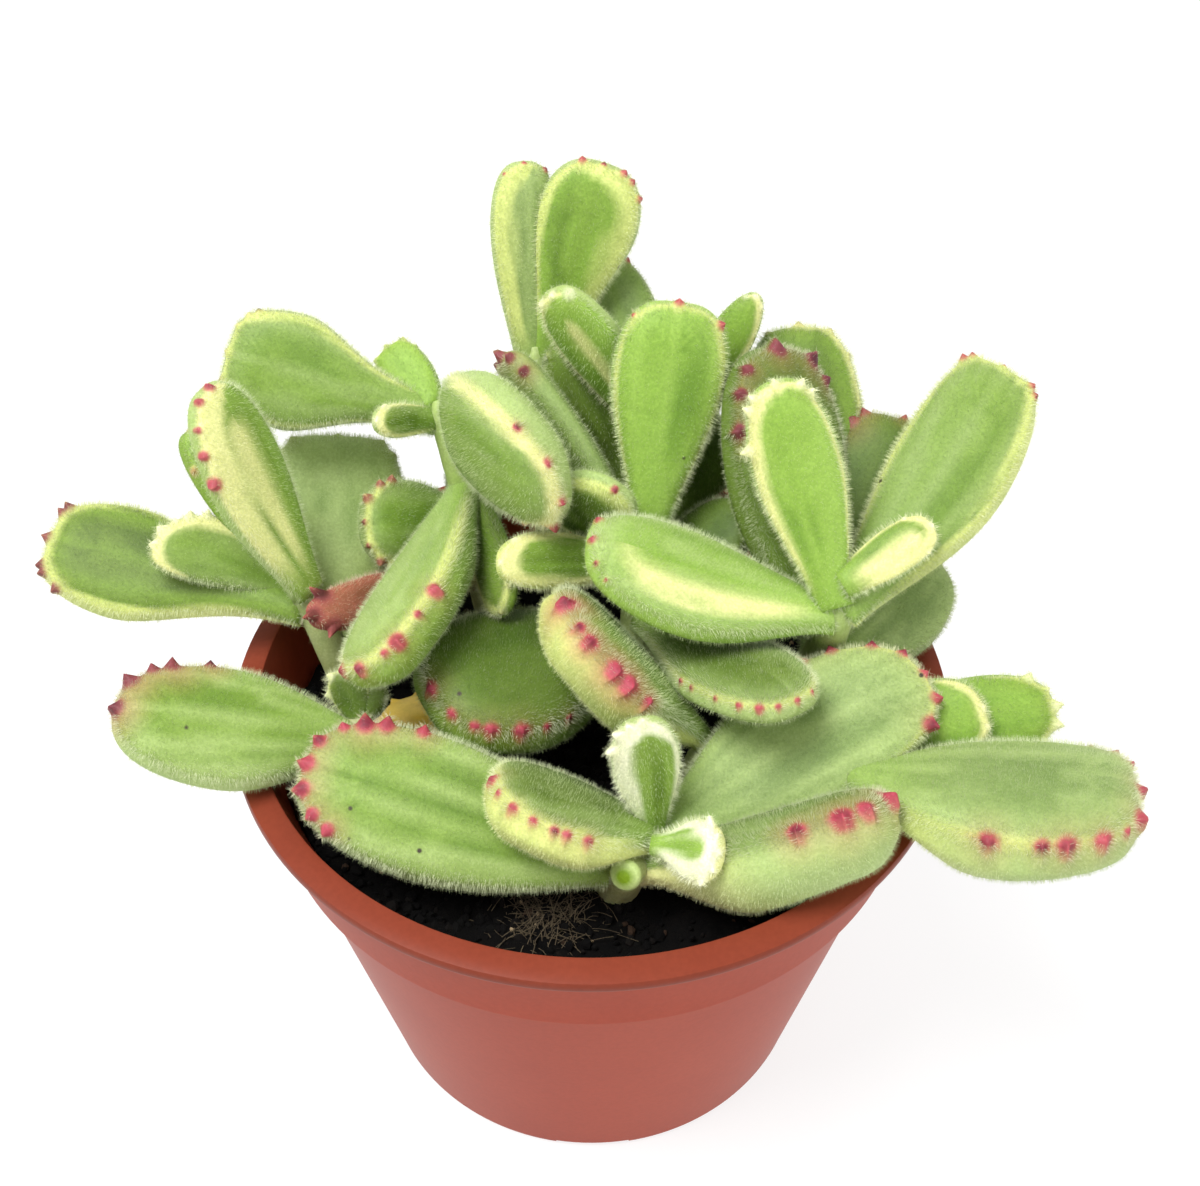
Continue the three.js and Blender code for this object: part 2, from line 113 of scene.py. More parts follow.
# Hairs, in millimetres. Pairs are the least and most length, and the white on the faces and at the margin.
HAIRS_PER_MM2 = 15.0
HAIR_LENGTH = (0.35, 0.8)
HAIR_WIDTH = 0.042
HAIR_LEAN = 0.13
HAIR_DROOP = (0, 0, -0.08)
HAIR_SUNK = 0.03
HAIR_WHITE = (0.42, 0.7)
FACE_HAIR = 0.85
EDGE_HAIR = 1.3
EDGE_CROWD = 2.2
BARE_CLAWS = 0.97


# Small helpers
def smooth(a):
    a = np.clip(a, 0.0, 1.0)
    return a * a * (3 - 2 * a)


def linear(rgb):
    c = np.asarray(rgb, float) / 255.0
    return np.where(c <= 0.04045, c / 12.92, ((c + 0.055) / 1.055) ** 2.4)


def mix(a, b, t):
    t = np.asarray(t)[..., None]
    return a * (1 - t) + b * t


def unit(v):
    return v / np.maximum(np.linalg.norm(v, axis=-1, keepdims=True), 1e-9)


def lattice(i, j, k, seed):
    h = np.sin(i * 127.1 + j * 311.7 + k * 74.7 + seed * 53.3) * 43758.5453
    return h - np.floor(h)


def noise(p, seed=0.0):
    """Smooth value noise from 0 to 1 at points p, with cells one unit wide."""
    cell = np.floor(p)
    f = p - cell
    f = f * f * (3 - 2 * f)
    total = 0
    for dx in (0, 1):
        for dy in (0, 1):
            for dz in (0, 1):
                w = np.abs(1 - dx - f[:, 0]) * np.abs(1 - dy - f[:, 1]) * np.abs(1 - dz - f[:, 2])
                total = total + w * lattice(cell[:, 0] + dx, cell[:, 1] + dy, cell[:, 2] + dz, seed)
    return total


def add_object(name, data):
    thing = bpy.data.objects.new(name, data)
    bpy.context.scene.collection.objects.link(thing)
    return thing


def make_object(name, verts, faces, colors=None, material=None, smooth_faces=True):
    """A mesh object from numpy vertices in millimetres and triangles or quads."""
    mesh = bpy.data.meshes.new(name)
    faces = np.asarray(faces)
    n, sides = faces.shape
    mesh.vertices.add(len(verts))
    mesh.vertices.foreach_set("co", (np.asarray(verts, float) * MM).ravel())
    mesh.loops.add(n * sides)
    mesh.loops.foreach_set("vertex_index", faces.ravel().astype(np.int32))
    mesh.polygons.add(n)
    mesh.polygons.foreach_set("loop_start", np.arange(0, n * sides, sides, dtype=np.int32))
    mesh.polygons.foreach_set("use_smooth", np.full(n, smooth_faces))
    mesh.update(calc_edges=True)
    mesh.validate()
    if colors is not None:
        layer = mesh.color_attributes.new("tint", "FLOAT_COLOR", "POINT")
        rgba = np.concatenate([colors, np.ones((len(colors), 1))], axis=1)
        layer.data.foreach_set("color", rgba.ravel())
    if material:
        mesh.materials.append(material)
    return add_object(name, mesh)


def ring_corners(rows, sides):
    """Two neighbouring corners of every cell of a tube made of rings."""
    r, c = np.meshgrid(np.arange(rows - 1), np.arange(sides), indexing="ij")
    return (r * sides + c).ravel(), (r * sides + (c + 1) % sides).ravel()


def cap(base, sides, turned):
    """A fan of triangles that closes the ring starting at vertex base."""
    fan = np.array([[base, base + k, base + k + 1] for k in range(1, sides - 1)])
    return fan[:, ::-1] if turned else fan


# Leaf surface
def margin(s, blade):
    """Distance along and half width at a share s of the way round one side."""
    a = np.clip(s / 0.5, 0, 1)
    rising = (blade["stalk"] + (blade["wide"] - blade["stalk"]) * smooth(a ** blade["full"])) / 2
    turn = np.clip((s - 0.5) * math.pi, 0, math.pi / 2)
    along = blade["shoulder"] + (1 - blade["shoulder"]) * np.sin(turn)
    falling = blade["wide"] / 2 * np.maximum(np.cos(turn), 0) ** blade["blunt"]
    first = s < 0.5
    return np.where(first, blade["shoulder"] * a, along) * blade["long"], np.where(first, rising, falling)


def swell(u):
    """How full a leaf is at a share u of its length."""
    return smooth(u / 0.45) * (1 - 0.22 * np.clip((u - 0.55) / 0.45, 0, 1))


def blade_frame(start, end, roll):
    """Ways along, across and up from a leaf, rolled about its length by degrees."""
    d = unit(end - start)
    level = unit(np.cross(d, (0, 0, 1)))
    raised = np.cross(level, d)
    c, s = math.cos(math.radians(roll)), math.sin(math.radians(roll))
    side = level * c + raised * s
    return d, side, np.cross(side, d)


def bend(x, y, z, blade):
    """The flat leaf curved sideways by its bow, and along its length by its arch."""
    share = x / blade["long"]
    y = y + blade["bow"] * 4 * share * (1 - share)
    if abs(blade["arch"]) < 0.1:
        return x, y, z
    sweep = math.radians(blade["arch"])
    radius = blade["long"] / (2 * math.sin(sweep / 2))
    a = share * sweep - sweep / 2
    return (
        radius * math.sin(sweep / 2) + (radius - z) * np.sin(a),
        y,
        radius * math.cos(sweep / 2) - (radius - z) * np.cos(a),
    )


def edge_shares(blade, places, count):
    """Shares of the way round one side, closer together where a claw stands."""
    s = np.linspace(0, 1, EDGE_SAMPLES)
    x, w = margin(s, blade)
    px, pw = margin(np.array(list(places) + [1.0]), blade)
    gap = np.hypot(x[:, None] - px, w[:, None] - pw).min(axis=1)
    step = np.hypot(np.gradient(x), np.gradient(w))
    density = step * np.where(s < 0.4, 0.5, 1.0) * (1 + CLAW_CROWD * np.exp(-((gap / CLAW_NEAR) ** 2)))
    run = np.concatenate([[0], np.cumsum((density[1:] + density[:-1]) / 2)])
    return np.interp(np.linspace(0, run[-1], count), run, s)


def build_leaf(root, tip, wide, roll, look, shape, seed=1.0):
    """Vertices, triangles, colours, nearness to the margin and bareness of one leaf."""
    start, end = np.array(root, float), np.array(tip, float)
    long = float(np.linalg.norm(end - start))
    blade = dict(
        wide=wide, long=long, stalk=STALK, teeth=TEETH, first=FIRST_TOOTH, tooth=TOOTH, full=FULL,
        blunt=BLUNT, shoulder=SHOULDER, crown=CROWN_SHARE * wide, deep=BELLY_SHARE * wide, arch=0.0, bow=0.0,
    )
    blade.update(shape)
    d, side, face = blade_frame(start, end, roll)

    rng = np.random.default_rng(int(abs(root[0] * 7 + tip[0] * 13 + tip[2] * 29)) + 5)
    teeth = blade["teeth"]
    step = (1 - blade["first"]) / (teeth + 0.5)
    places = blade["first"] + step * (np.arange(teeth) + 0.5 + rng.uniform(-CLAW_JITTER, CLAW_JITTER, teeth))
    wish = POINTS_PER_MM * (long + wide / 2) + POINTS_PER_CLAW * teeth
    s = edge_shares(blade, places, int(np.clip(wish, *MARGIN_POINTS)))
    x, w = margin(s, blade)
    sx = np.concatenate([x, x[-2::-1]])
    sy = np.concatenate([w, -w[-2::-1]])
    sy[len(s) - 1] = 0.0
    n = len(sx)

    ax, aw = margin(places, blade)
    right, left = (teeth - blade.get(key, teeth) for key in ("right", "left"))
    apex = np.concatenate([
        np.stack([ax, aw], 1)[right:], [[long, 0.0]], np.stack([ax, -aw], 1)[left:],
    ])
    apex_size = rng.uniform(*CLAW_SIZES, len(apex))

    # Claws push the margin out to a small point, with a soft shoulder on both sides
    ends = SPINE_START * long, SPINE_END * long
    spine = np.clip(sx, *ends)
    outward = unit(np.stack([sx - spine, sy], 1))
    gap = np.linalg.norm(np.stack([sx, sy], 1)[:, None] - apex[None], axis=2)
    fine = min(1.0, math.sqrt(wide / USUAL_WIDTH))
    foot = CLAW_FOOT * fine * apex_size[None] ** 0.5
    bump = 0.25 * np.clip(1 - gap / (2 * foot), 0, 1) ** 2 + 0.75 * np.clip(1 - gap / foot, 0, 1) ** 1.2
    claw = (bump * apex_size[None]).max(axis=1) * blade["tooth"] * CLAW_REACH

    body = swell(spine / long)
    above = STALK_CROWN * blade["stalk"] * (1 - body) + blade["crown"] * body
    below = STALK_BELLY * blade["stalk"] * (1 - body) + blade["deep"] * body

    # Rings from the margin inward: size, height, share of the claws, and 1 for the face or -1 for the belly
    rows = [(1.0, 0.0, 1.0, 0)]
    for r in UPPER_RINGS:
        rows.append((r, (1 - r ** 2.6) ** 0.62, float(smooth((r - 0.9) / 0.1)), 1))
    for t in LOWER_TURNS:
        a = t * math.pi / 2
        r = max(math.cos(a), 0.0) ** BELLY_POWER
        r = r * (1 + BELLY_BULGE * math.sin(min(t / 0.42, 1) * math.pi))
        rows.append((r, -(math.sin(a) ** BELLY_POWER), float(smooth(1 - t / 0.16)), -1))

    points, share, upper, across = [], [], [], []
    for r, h, weight, face_side in rows:
        px = spine + (sx - spine) * r + outward[:, 0] * claw * weight
        py = sy * r + outward[:, 1] * claw * weight
        height = h * (above if face_side > 0 else below)
        height = height + CLAW_LIFT * claw * weight
        points.append(np.stack([px, py, height], 1))
        share.append(np.full(n, r if face_side >= 0 else max(0.0, 1 + h)))
        upper.append(np.full(n, face_side))
        across.append(np.where(sy >= 0, 1.0, -1.0) * min(r, 1.0))
    flat = np.concatenate(points)
    share, upper, across = map(np.concatenate, (share, upper, across))

    faces = []
    ring = np.arange(n)
    nxt = (ring + 1) % n
    count_up = len(UPPER_RINGS)

    def band(a, b, flipped):
        one = np.stack([a * n + ring, a * n + nxt, b * n + nxt], 1)
        two = np.stack([a * n + ring, b * n + nxt, b * n + ring], 1)
        both = np.concatenate([one, two])
        faces.append(both[:, ::-1] if flipped else both)

    for i in range(count_up):
        band(i, i + 1, False)
    for i in range(len(LOWER_TURNS)):
        band(0 if i == 0 else count_up + i, count_up + i + 1, True)
    faces = np.concatenate(faces)

    # Some leaves carry their claws as mounds a little inside the margin, on the face or on the belly
    inset = look["inset"]
    middle = np.clip(apex[:, :1], *ends) * (1, 0)
    tips = apex + (CLAW_OUT - abs(inset)) * unit(apex - middle)
    tips = np.concatenate([tips, 0 * tips[:, :1]], 1)
    mound = flat - tips[:, None]
    mound[..., 2] *= 1.0 if inset == 0 else MOUND_STRETCH
    mound = np.linalg.norm(mound, axis=2).T / apex_size[None] ** 0.7
    mound = np.where((inset * upper < 0)[:, None], FAR, mound)
    colors, bald = paint(flat, share, upper, across, mound, blade, look, seed)
    if inset:
        flat[:, 2] += MOUND * smooth(1.2 - mound.min(axis=1) / look["spot"]) * np.sign(inset)

    # A slow ripple keeps the faces from looking machined
    ripple = noise(flat / RIPPLE_CELL + 20, float(abs(root[0]) + abs(tip[1]) * 3)) - 0.5
    flat[:, 2] += RIPPLE * ripple * (1 - share ** 4) * upper

    bx, by, bz = bend(flat[:, 0], flat[:, 1], flat[:, 2], blade)
    world = start + np.outer(bx, d) + np.outer(by, side) + np.outer(bz, face)

    key = np.round(flat, 5)
    _, first, back = np.unique(key, axis=0, return_index=True, return_inverse=True)
    faces = back.reshape(-1)[faces]
    keep = (faces[:, 0] != faces[:, 1]) & (faces[:, 1] != faces[:, 2]) & (faces[:, 0] != faces[:, 2])
    return world[first], faces[keep], colors[first], share[first], bald[first]


# Leaf colours, as they look in daylight
TONES = {
    "mist": (184, 204, 137),
    "spring": (174, 209, 108),
    "apple": (159, 197, 89),
    "leafy": (144, 176, 80),
    "sage": (157, 178, 114),
    "moss": (121, 145, 70),
    "deep": (104, 131, 54),
    "lemon": (216, 224, 142),
    "butter": (240, 238, 172),
    "white": (252, 252, 228),
    "blush": (196, 120, 104),
}
CLAWS = {
    "crimson": ((190, 62, 92), (112, 36, 54), 1.0),
    "dark": ((142, 58, 76), (78, 34, 44), 1.0),
    "rust": ((164, 84, 84), (96, 44, 48), 1.0),
    "brown": ((206, 196, 140), (88, 66, 44), 0.7),
    "pale": ((222, 190, 136), (168, 110, 80), 0.6),
    "faint": ((186, 190, 140), (150, 130, 100), 0.4),
    "none": ((250, 248, 214), (252, 250, 222), 0.5),
}
HAIR_TONE = linear((236, 240, 206))
STEM_TONES = linear((176, 178, 122)), linear((176, 200, 112))
STEM_PATCH = linear((206, 214, 160))
CUT_RING, CUT_MIDDLE = linear((196, 214, 140)), linear((120, 150, 20))

# Shares of the tones above that the skin has, since the light of the scene brightens it
LEAF_LIGHT = (0.8, 0.81, 0.64)
HAZY_LIGHT = (0.9, 0.91, 0.82)
PALE_LIGHT = (1.0, 1.0, 0.95)
DARK_STREAK = (0.5, 0.6, 0.4)
STREAK_SPREAD = 1.7
# Broad, middle and thin streaks: weight, scale along and across the leaf, and two shifts of the noise
STREAKS = ((0.2, 0.04, 0.4, 9, 4), (0.45, 0.05, 0.9, 0, 0), (0.35, 0.11, 2.6, 5, 2))

# What a coat has unless it says otherwise: width of the cream at the right, left and tip, its tone, a stripe
# as place and half width, the tone of the belly near the stalk, blush round the claws, their size, strength
# of the dark streaks, and how far the claws sit inside the margin
PLAIN_COAT = dict(
    right=0.0, left=0.0, tip=0.0, pale="lemon", stripe=None, foot=None, halo=0.05, spot=1.0, streak=0.6,
    inset=0.0,
)


def tone(name):
    light = PALE_LIGHT if name in ("lemon", "butter", "white") else LEAF_LIGHT
    if name in ("mist", "sage", "blush"):
        light = HAZY_LIGHT
    return linear(TONES[name]) * np.array(light)


def paint(flat, share, upper, across, gap, blade, look, seed):
    """Colour of each point of a leaf, and how bare of hair its claws leave it."""
    u = np.clip(flat[:, 0] / blade["long"], 0, 1)
    fan = flat[:, 1] / (0.35 + 0.65 * smooth(u / 0.7))
    streak = 0
    for weight, along, fine, shift, number in STREAKS:
        place = np.stack([flat[:, 0] * along, fan * fine, 0 * u + seed + shift], 1)
        streak = streak + weight * noise(place, seed + number)
    # Near the tip the rings of a leaf close in on one point, so the streaks fade there
    closing = smooth((u - 0.66) / 0.14) * smooth((0.9 - share) / 0.3)
    streak = np.clip(0.5 + STREAK_SPREAD * (streak - 0.5) * (1 - 0.75 * closing), 0, 1)
    patch = noise(flat * 0.3 + 40, seed + 3)
    base, light = tone(look["green"]), tone(look["light"])
    body = mix(base, light, 0.55 * smooth((streak - 0.42) / 0.26))
    dark = base * np.array(DARK_STREAK)
    dark_weight = smooth((0.52 - streak) / 0.16) * smooth(u / 0.5) * smooth((1.1 - np.abs(across)) / 0.6)
    body = mix(body, dark, look["streak"] * dark_weight * (0.5 + 0.8 * patch))
    body = mix(body, light, 0.5 * smooth((np.abs(across) - 0.4) / 0.5))
    body = mix(body, tone("spring"), 0.5 * smooth(1 - u / 0.4))

    # Cream margins, wider where the leaf is variegated, fading in soft streaks inward
    pale = tone(look["pale"])
    toward = smooth(0.5 + flat[:, 1] / (0.5 * blade["wide"]))
    wish = look["left"] + (look["right"] - look["left"]) * np.where(u > 0.7, toward, across >= 0)
    wish = np.where(wish > 0, wish * (1 + 1.3 * (streak - 0.5)), 0)
    wish = np.maximum(wish, look["tip"] * smooth((u - 0.7) / 0.28) * (0.8 + 0.4 * streak))
    inside = 1 - np.abs(across)
    soft = 0.12 + 0.5 * wish
    cream = smooth((wish - inside) / soft + 0.5) * smooth((u - 0.05) / 0.25) * (wish > 0.01)
    top = mix(body, pale, 0.95 * cream)

    if look["stripe"]:
        at, half = look["stripe"]
        band = smooth(1.15 * (1 - np.abs(across - at + 0.3 * (streak - 0.5)) / half))
        band = band * smooth((u - 0.05) / 0.25) * smooth((0.98 - u) / 0.2)
        top = mix(top, tone("butter"), 0.95 * band)

    under = mix(tone(look["under"]), 0.5 * (base + light), 0.35 * smooth((streak - 0.4) / 0.35))
    if look["foot"]:
        under = mix(under, tone(look["foot"]), 0.9 * smooth(1.1 - u / 0.55))
    color = np.where((upper >= 0)[:, None], top, under)
    color = mix(color, top, 0.7 * smooth((share - 0.8) / 0.2) * (upper < 0))

    # Claws and the blush around them
    bright, core, strong = CLAWS[look["claws"]]
    which = gap.argmin(axis=1)
    nearest = gap.min(axis=1) / look["spot"]
    darkness = lattice(np.arange(gap.shape[1]), 3.0, seed, 1.0)[which]
    halo = smooth(1 - nearest / 3.4) * look["halo"]
    color = mix(color, tone("blush"), np.clip(halo, 0, 0.9))
    spot = strong * smooth((1.12 - nearest) / 0.62)
    color = mix(color, linear(bright), 0.92 * spot)
    middle = strong * smooth((0.7 - nearest) / 0.5)
    color = mix(color, linear(core), (0.15 + 0.85 * darkness ** 1.5) * middle)
    return np.clip(color, 0, 1), np.where(strong > 0.65, spot, 0.3 * spot)


# Stems
def build_stem(path, sides=20, rows=14):
    """A round, slightly lumpy stem along a path of x, y, z and radius, with a blunt end."""
    path = np.array(path, float)
    t = np.linspace(0, len(path) - 1, rows * (len(path) - 1) + 1)
    i = np.minimum(t.astype(int), len(path) - 2)
    f = (t - i)[:, None]
    p0, p1 = path[i], path[i + 1]
    line = p0 + (p1 - p0) * f
    way = unit(np.gradient(line[:, :3], axis=0))
    a = np.linspace(0, 2 * math.pi, sides, endpoint=False)
    one = unit(np.cross(way, (0.0, 1.0, 0.0)))
    two = np.cross(way, one)
    round_off = np.ones(len(line))
    round_off[-2:] = (0.8, 0.35)
    radius = line[:, 3] * round_off
    ring = np.cos(a)[None, :, None] * one[:, None] + np.sin(a)[None, :, None] * two[:, None]
    verts = (line[:, None, :3] + ring * radius[:, None, None]).reshape(-1, 3)
    verts = verts + 0.12 * (noise(verts * 0.9 + 60)[:, None] - 0.5) * ring.reshape(-1, 3)
    q0, q1 = ring_corners(len(line), sides)
    faces = np.concatenate([
        np.stack([q0, q1 + sides, q1], 1), np.stack([q0, q0 + sides, q1 + sides], 1),
        cap(0, sides, False), cap((len(line) - 1) * sides, sides, True),
    ])
    up = smooth((verts[:, 2] - SOIL_TOP) / 30)
    color = mix(mix(*STEM_TONES, up), STEM_PATCH, 0.5 * noise(verts * 0.6))
    return verts, faces, color, np.full(len(verts), 0.3), np.zeros(len(verts))


# Hairs
def build_hairs(verts, faces, colors, edge, bald, count, rng):
    """Hairs as thin three-cornered spikes standing on the skin, closer and longer at the margins."""
    a, b, c = np.moveaxis(verts[faces], 1, 0)
    cross = np.cross(b - a, c - a)
    area = np.linalg.norm(cross, axis=1) / 2
    near_edge = smooth((edge[faces].mean(axis=1) - 0.7) / 0.3)
    chance = area * (1 + EDGE_CROWD * near_edge) * (1 - BARE_CLAWS * bald[faces].mean(axis=1))
    pick = rng.choice(len(faces), size=count, p=chance / chance.sum())
    r1, r2 = np.sqrt(rng.random(count)), rng.random(count)
    root = (1 - r1)[:, None] * a[pick] + (r1 * (1 - r2))[:, None] * b[pick] + (r1 * r2)[:, None] * c[pick]
    normal = cross[pick] / np.maximum(2 * area[pick], 1e-9)[:, None]
    way = unit(normal + HAIR_LEAN * rng.normal(size=(count, 3)) + np.array(HAIR_DROOP))
    flat = unit(np.cross(way, rng.normal(size=(count, 3))))
    rim = near_edge[pick]
    tall = (rng.uniform(*HAIR_LENGTH, count) * (FACE_HAIR + (EDGE_HAIR - FACE_HAIR) * rim))[:, None]
    half = flat * HAIR_WIDTH / 2 * (FACE_HAIR + (1 - FACE_HAIR) * rim)[:, None]
    root = root - HAIR_SUNK * normal
    out = np.stack([root - half, root + half, root + way * tall], 1)
    skin = colors[faces[pick]].mean(axis=1)
    tint = mix(skin, HAIR_TONE, HAIR_WHITE[0] + (HAIR_WHITE[1] - HAIR_WHITE[0]) * rim)
    return out.reshape(-1, 3), np.arange(3 * count).reshape(-1, 3), np.repeat(tint, 3, axis=0)


# Materials
WHITE, BLACK = (1, 1, 1), (0, 0, 0)
SKIN_SHADE = (0.84, 0.86, 0.8)
DUST = (0.05, 0.04, 0.025, 1)


def new_material(name):
    material = bpy.data.materials.new(name)
    material.use_nodes = True
    tree = material.node_tree
    return material, tree, tree.nodes["Principled BSDF"]


def tint_node(tree):
    node = tree.nodes.new("ShaderNodeAttribute")
    node.attribute_name = "tint"
    return node.outputs["Color"]


def surface(shader, roughness, specular):
    shader.inputs["Roughness"].default_value = roughness
    shader.inputs["Specular IOR Level"].default_value = specular


def noise_node(tree, scale, detail=3.0, rough=0.6):
    coords = tree.nodes.new("ShaderNodeTexCoord")
    node = tree.nodes.new("ShaderNodeTexNoise")
    node.inputs["Scale"].default_value = scale
    node.inputs["Detail"].default_value = detail
    node.inputs["Roughness"].default_value = rough
    tree.links.new(coords.outputs["Object"], node.inputs["Vector"])
    return node.outputs["Fac"]


def ramp_node(tree, source, stops):
    node = tree.nodes.new("ShaderNodeValToRGB")
    while len(node.color_ramp.elements) < len(stops):
        node.color_ramp.elements.new(0.5)
    for element, (place, color) in zip(node.color_ramp.elements, stops):
        element.position = place
        element.color = (*color, 1.0)
    tree.links.new(source, node.inputs["Fac"])
    return node.outputs["Color"]


def multiply(tree, one, two):
    node = tree.nodes.new("ShaderNodeMix")
    node.data_type = "RGBA"
    node.blend_type = "MULTIPLY"
    node.inputs["Factor"].default_value = 1.0
    tree.links.new(one, node.inputs["A"])
    tree.links.new(two, node.inputs["B"])
    return node.outputs["Result"]


def bump_node(tree, height, strength, distance, shader):
    node = tree.nodes.new("ShaderNodeBump")
    node.inputs["Strength"].default_value = strength
    node.inputs["Distance"].default_value = distance
    tree.links.new(height, node.inputs["Height"])
    tree.links.new(node.outputs["Normal"], shader.inputs["Normal"])


def leaf_material():
    material, tree, shader = new_material("leaf_skin")
    mottled = noise_node(tree, 700, 5, 0.7)
    shade = ramp_node(tree, mottled, [(0.3, SKIN_SHADE), (0.7, WHITE)])
    color = multiply(tree, tint_node(tree), shade)
    grain = noise_node(tree, 3000, 2, 0.5)
    sparkle = ramp_node(tree, grain, [(0.4, SKIN_SHADE), (0.66, WHITE)])
    color = multiply(tree, color, sparkle)

    # Rare dark specks of dust and soil
    coords = tree.nodes.new("ShaderNodeTexCoord")
    cells = tree.nodes.new("ShaderNodeTexVoronoi")
    cells.inputs["Scale"].default_value = 260
    tree.links.new(coords.outputs["Object"], cells.inputs["Vector"])
    dot = ramp_node(tree, cells.outputs["Distance"], [(0.05, WHITE), (0.1, BLACK)])
    pick = tree.nodes.new("ShaderNodeSeparateColor")
    tree.links.new(cells.outputs["Color"], pick.inputs["Color"])
    rare = ramp_node(tree, pick.outputs["Red"], [(0.9, BLACK), (0.92, WHITE)])
    both = multiply(tree, dot, rare)
    speck = tree.nodes.new("ShaderNodeMix")
    speck.data_type = "RGBA"
    speck.inputs["B"].default_value = DUST
    tree.links.new(both, speck.inputs["Factor"])
    tree.links.new(color, speck.inputs["A"])
    tree.links.new(speck.outputs["Result"], shader.inputs["Base Color"])
    surface(shader, 0.55, 0.3)
    shader.inputs["Subsurface Weight"].default_value = 0.15
    shader.inputs["Subsurface Radius"].default_value = (0.9, 1.0, 0.35)
    shader.inputs["Subsurface Scale"].default_value = 0.0012
    bump_node(tree, grain, 0.3, 0.0002, shader)
    return material


def hair_material():
    material, tree, shader = new_material("leaf_hair")
    cloud = noise_node(tree, 300)
    shade = ramp_node(tree, cloud, [(0.3, (0.85, 0.86, 0.8)), (0.7, WHITE)])
    tree.links.new(multiply(tree, tint_node(tree), shade), shader.inputs["Base Color"])
    surface(shader, 0.5, 0.2)
    return material


def pot_material():
    material, tree, shader = new_material("pot_plastic")
    cloud = noise_node(tree, 38, 4, 0.6)
    body = ramp_node(tree, cloud, [(0.3, linear((152, 60, 38))), (0.72, linear((160, 67, 44)))])
    fleck = noise_node(tree, 1500, 2, 0.5)
    dust = ramp_node(tree, fleck, [(0.35, (0.93, 0.93, 0.93)), (0.65, WHITE)])
    color = multiply(tree, body, dust)
    # The tint attribute darkens the rim and the inside with painted shade
    tree.links.new(multiply(tree, color, tint_node(tree)), shader.inputs["Base Color"])
    surface(shader, 0.36, 0.08)
    bump_node(tree, fleck, 0.08, 0.0001, shader)
    return material


def soil_material():
    material, tree, shader = new_material("dark_soil")
    lumps = noise_node(tree, 420, 5, 0.7)
    stops = [(0.35, linear((5, 5, 5))), (0.62, linear((12, 10, 9))), (0.85, linear((34, 28, 23)))]
    body = ramp_node(tree, lumps, stops)
    tree.links.new(body, shader.inputs["Base Color"])
    surface(shader, 0.95, 0.1)
    bump_node(tree, lumps, 0.7, 0.0008, shader)
    return material


def tinted_material(name, roughness, scale, strength, subsurface=0.0):
    material, tree, shader = new_material(name)
    grain = noise_node(tree, scale, 4, 0.65)
    shade = ramp_node(tree, grain, [(0.3, (0.75, 0.75, 0.75)), (0.7, WHITE)])
    tree.links.new(multiply(tree, tint_node(tree), shade), shader.inputs["Base Color"])
    surface(shader, roughness, 0.15)
    shader.inputs["Subsurface Weight"].default_value = subsurface
    shader.inputs["Subsurface Scale"].default_value = 0.001
    bump_node(tree, grain, strength, 0.0003, shader)
    return material


SKIN = leaf_material()
HAIR = hair_material()


# The clump
def coat(green, light, under, claws, **more):
    """Colours of a leaf: its green, its light streaks, its belly, its claws, and what isn't plain."""
    return dict(PLAIN_COAT, green=green, light=light, under=under, claws=claws, **more)


def leaf(root, tip, wide, roll, look, **shape):
    """One leaf: base, tip, width, roll in degrees, its coat, and what isn't usual in its shape."""
    return root, tip, wide, roll, look, shape


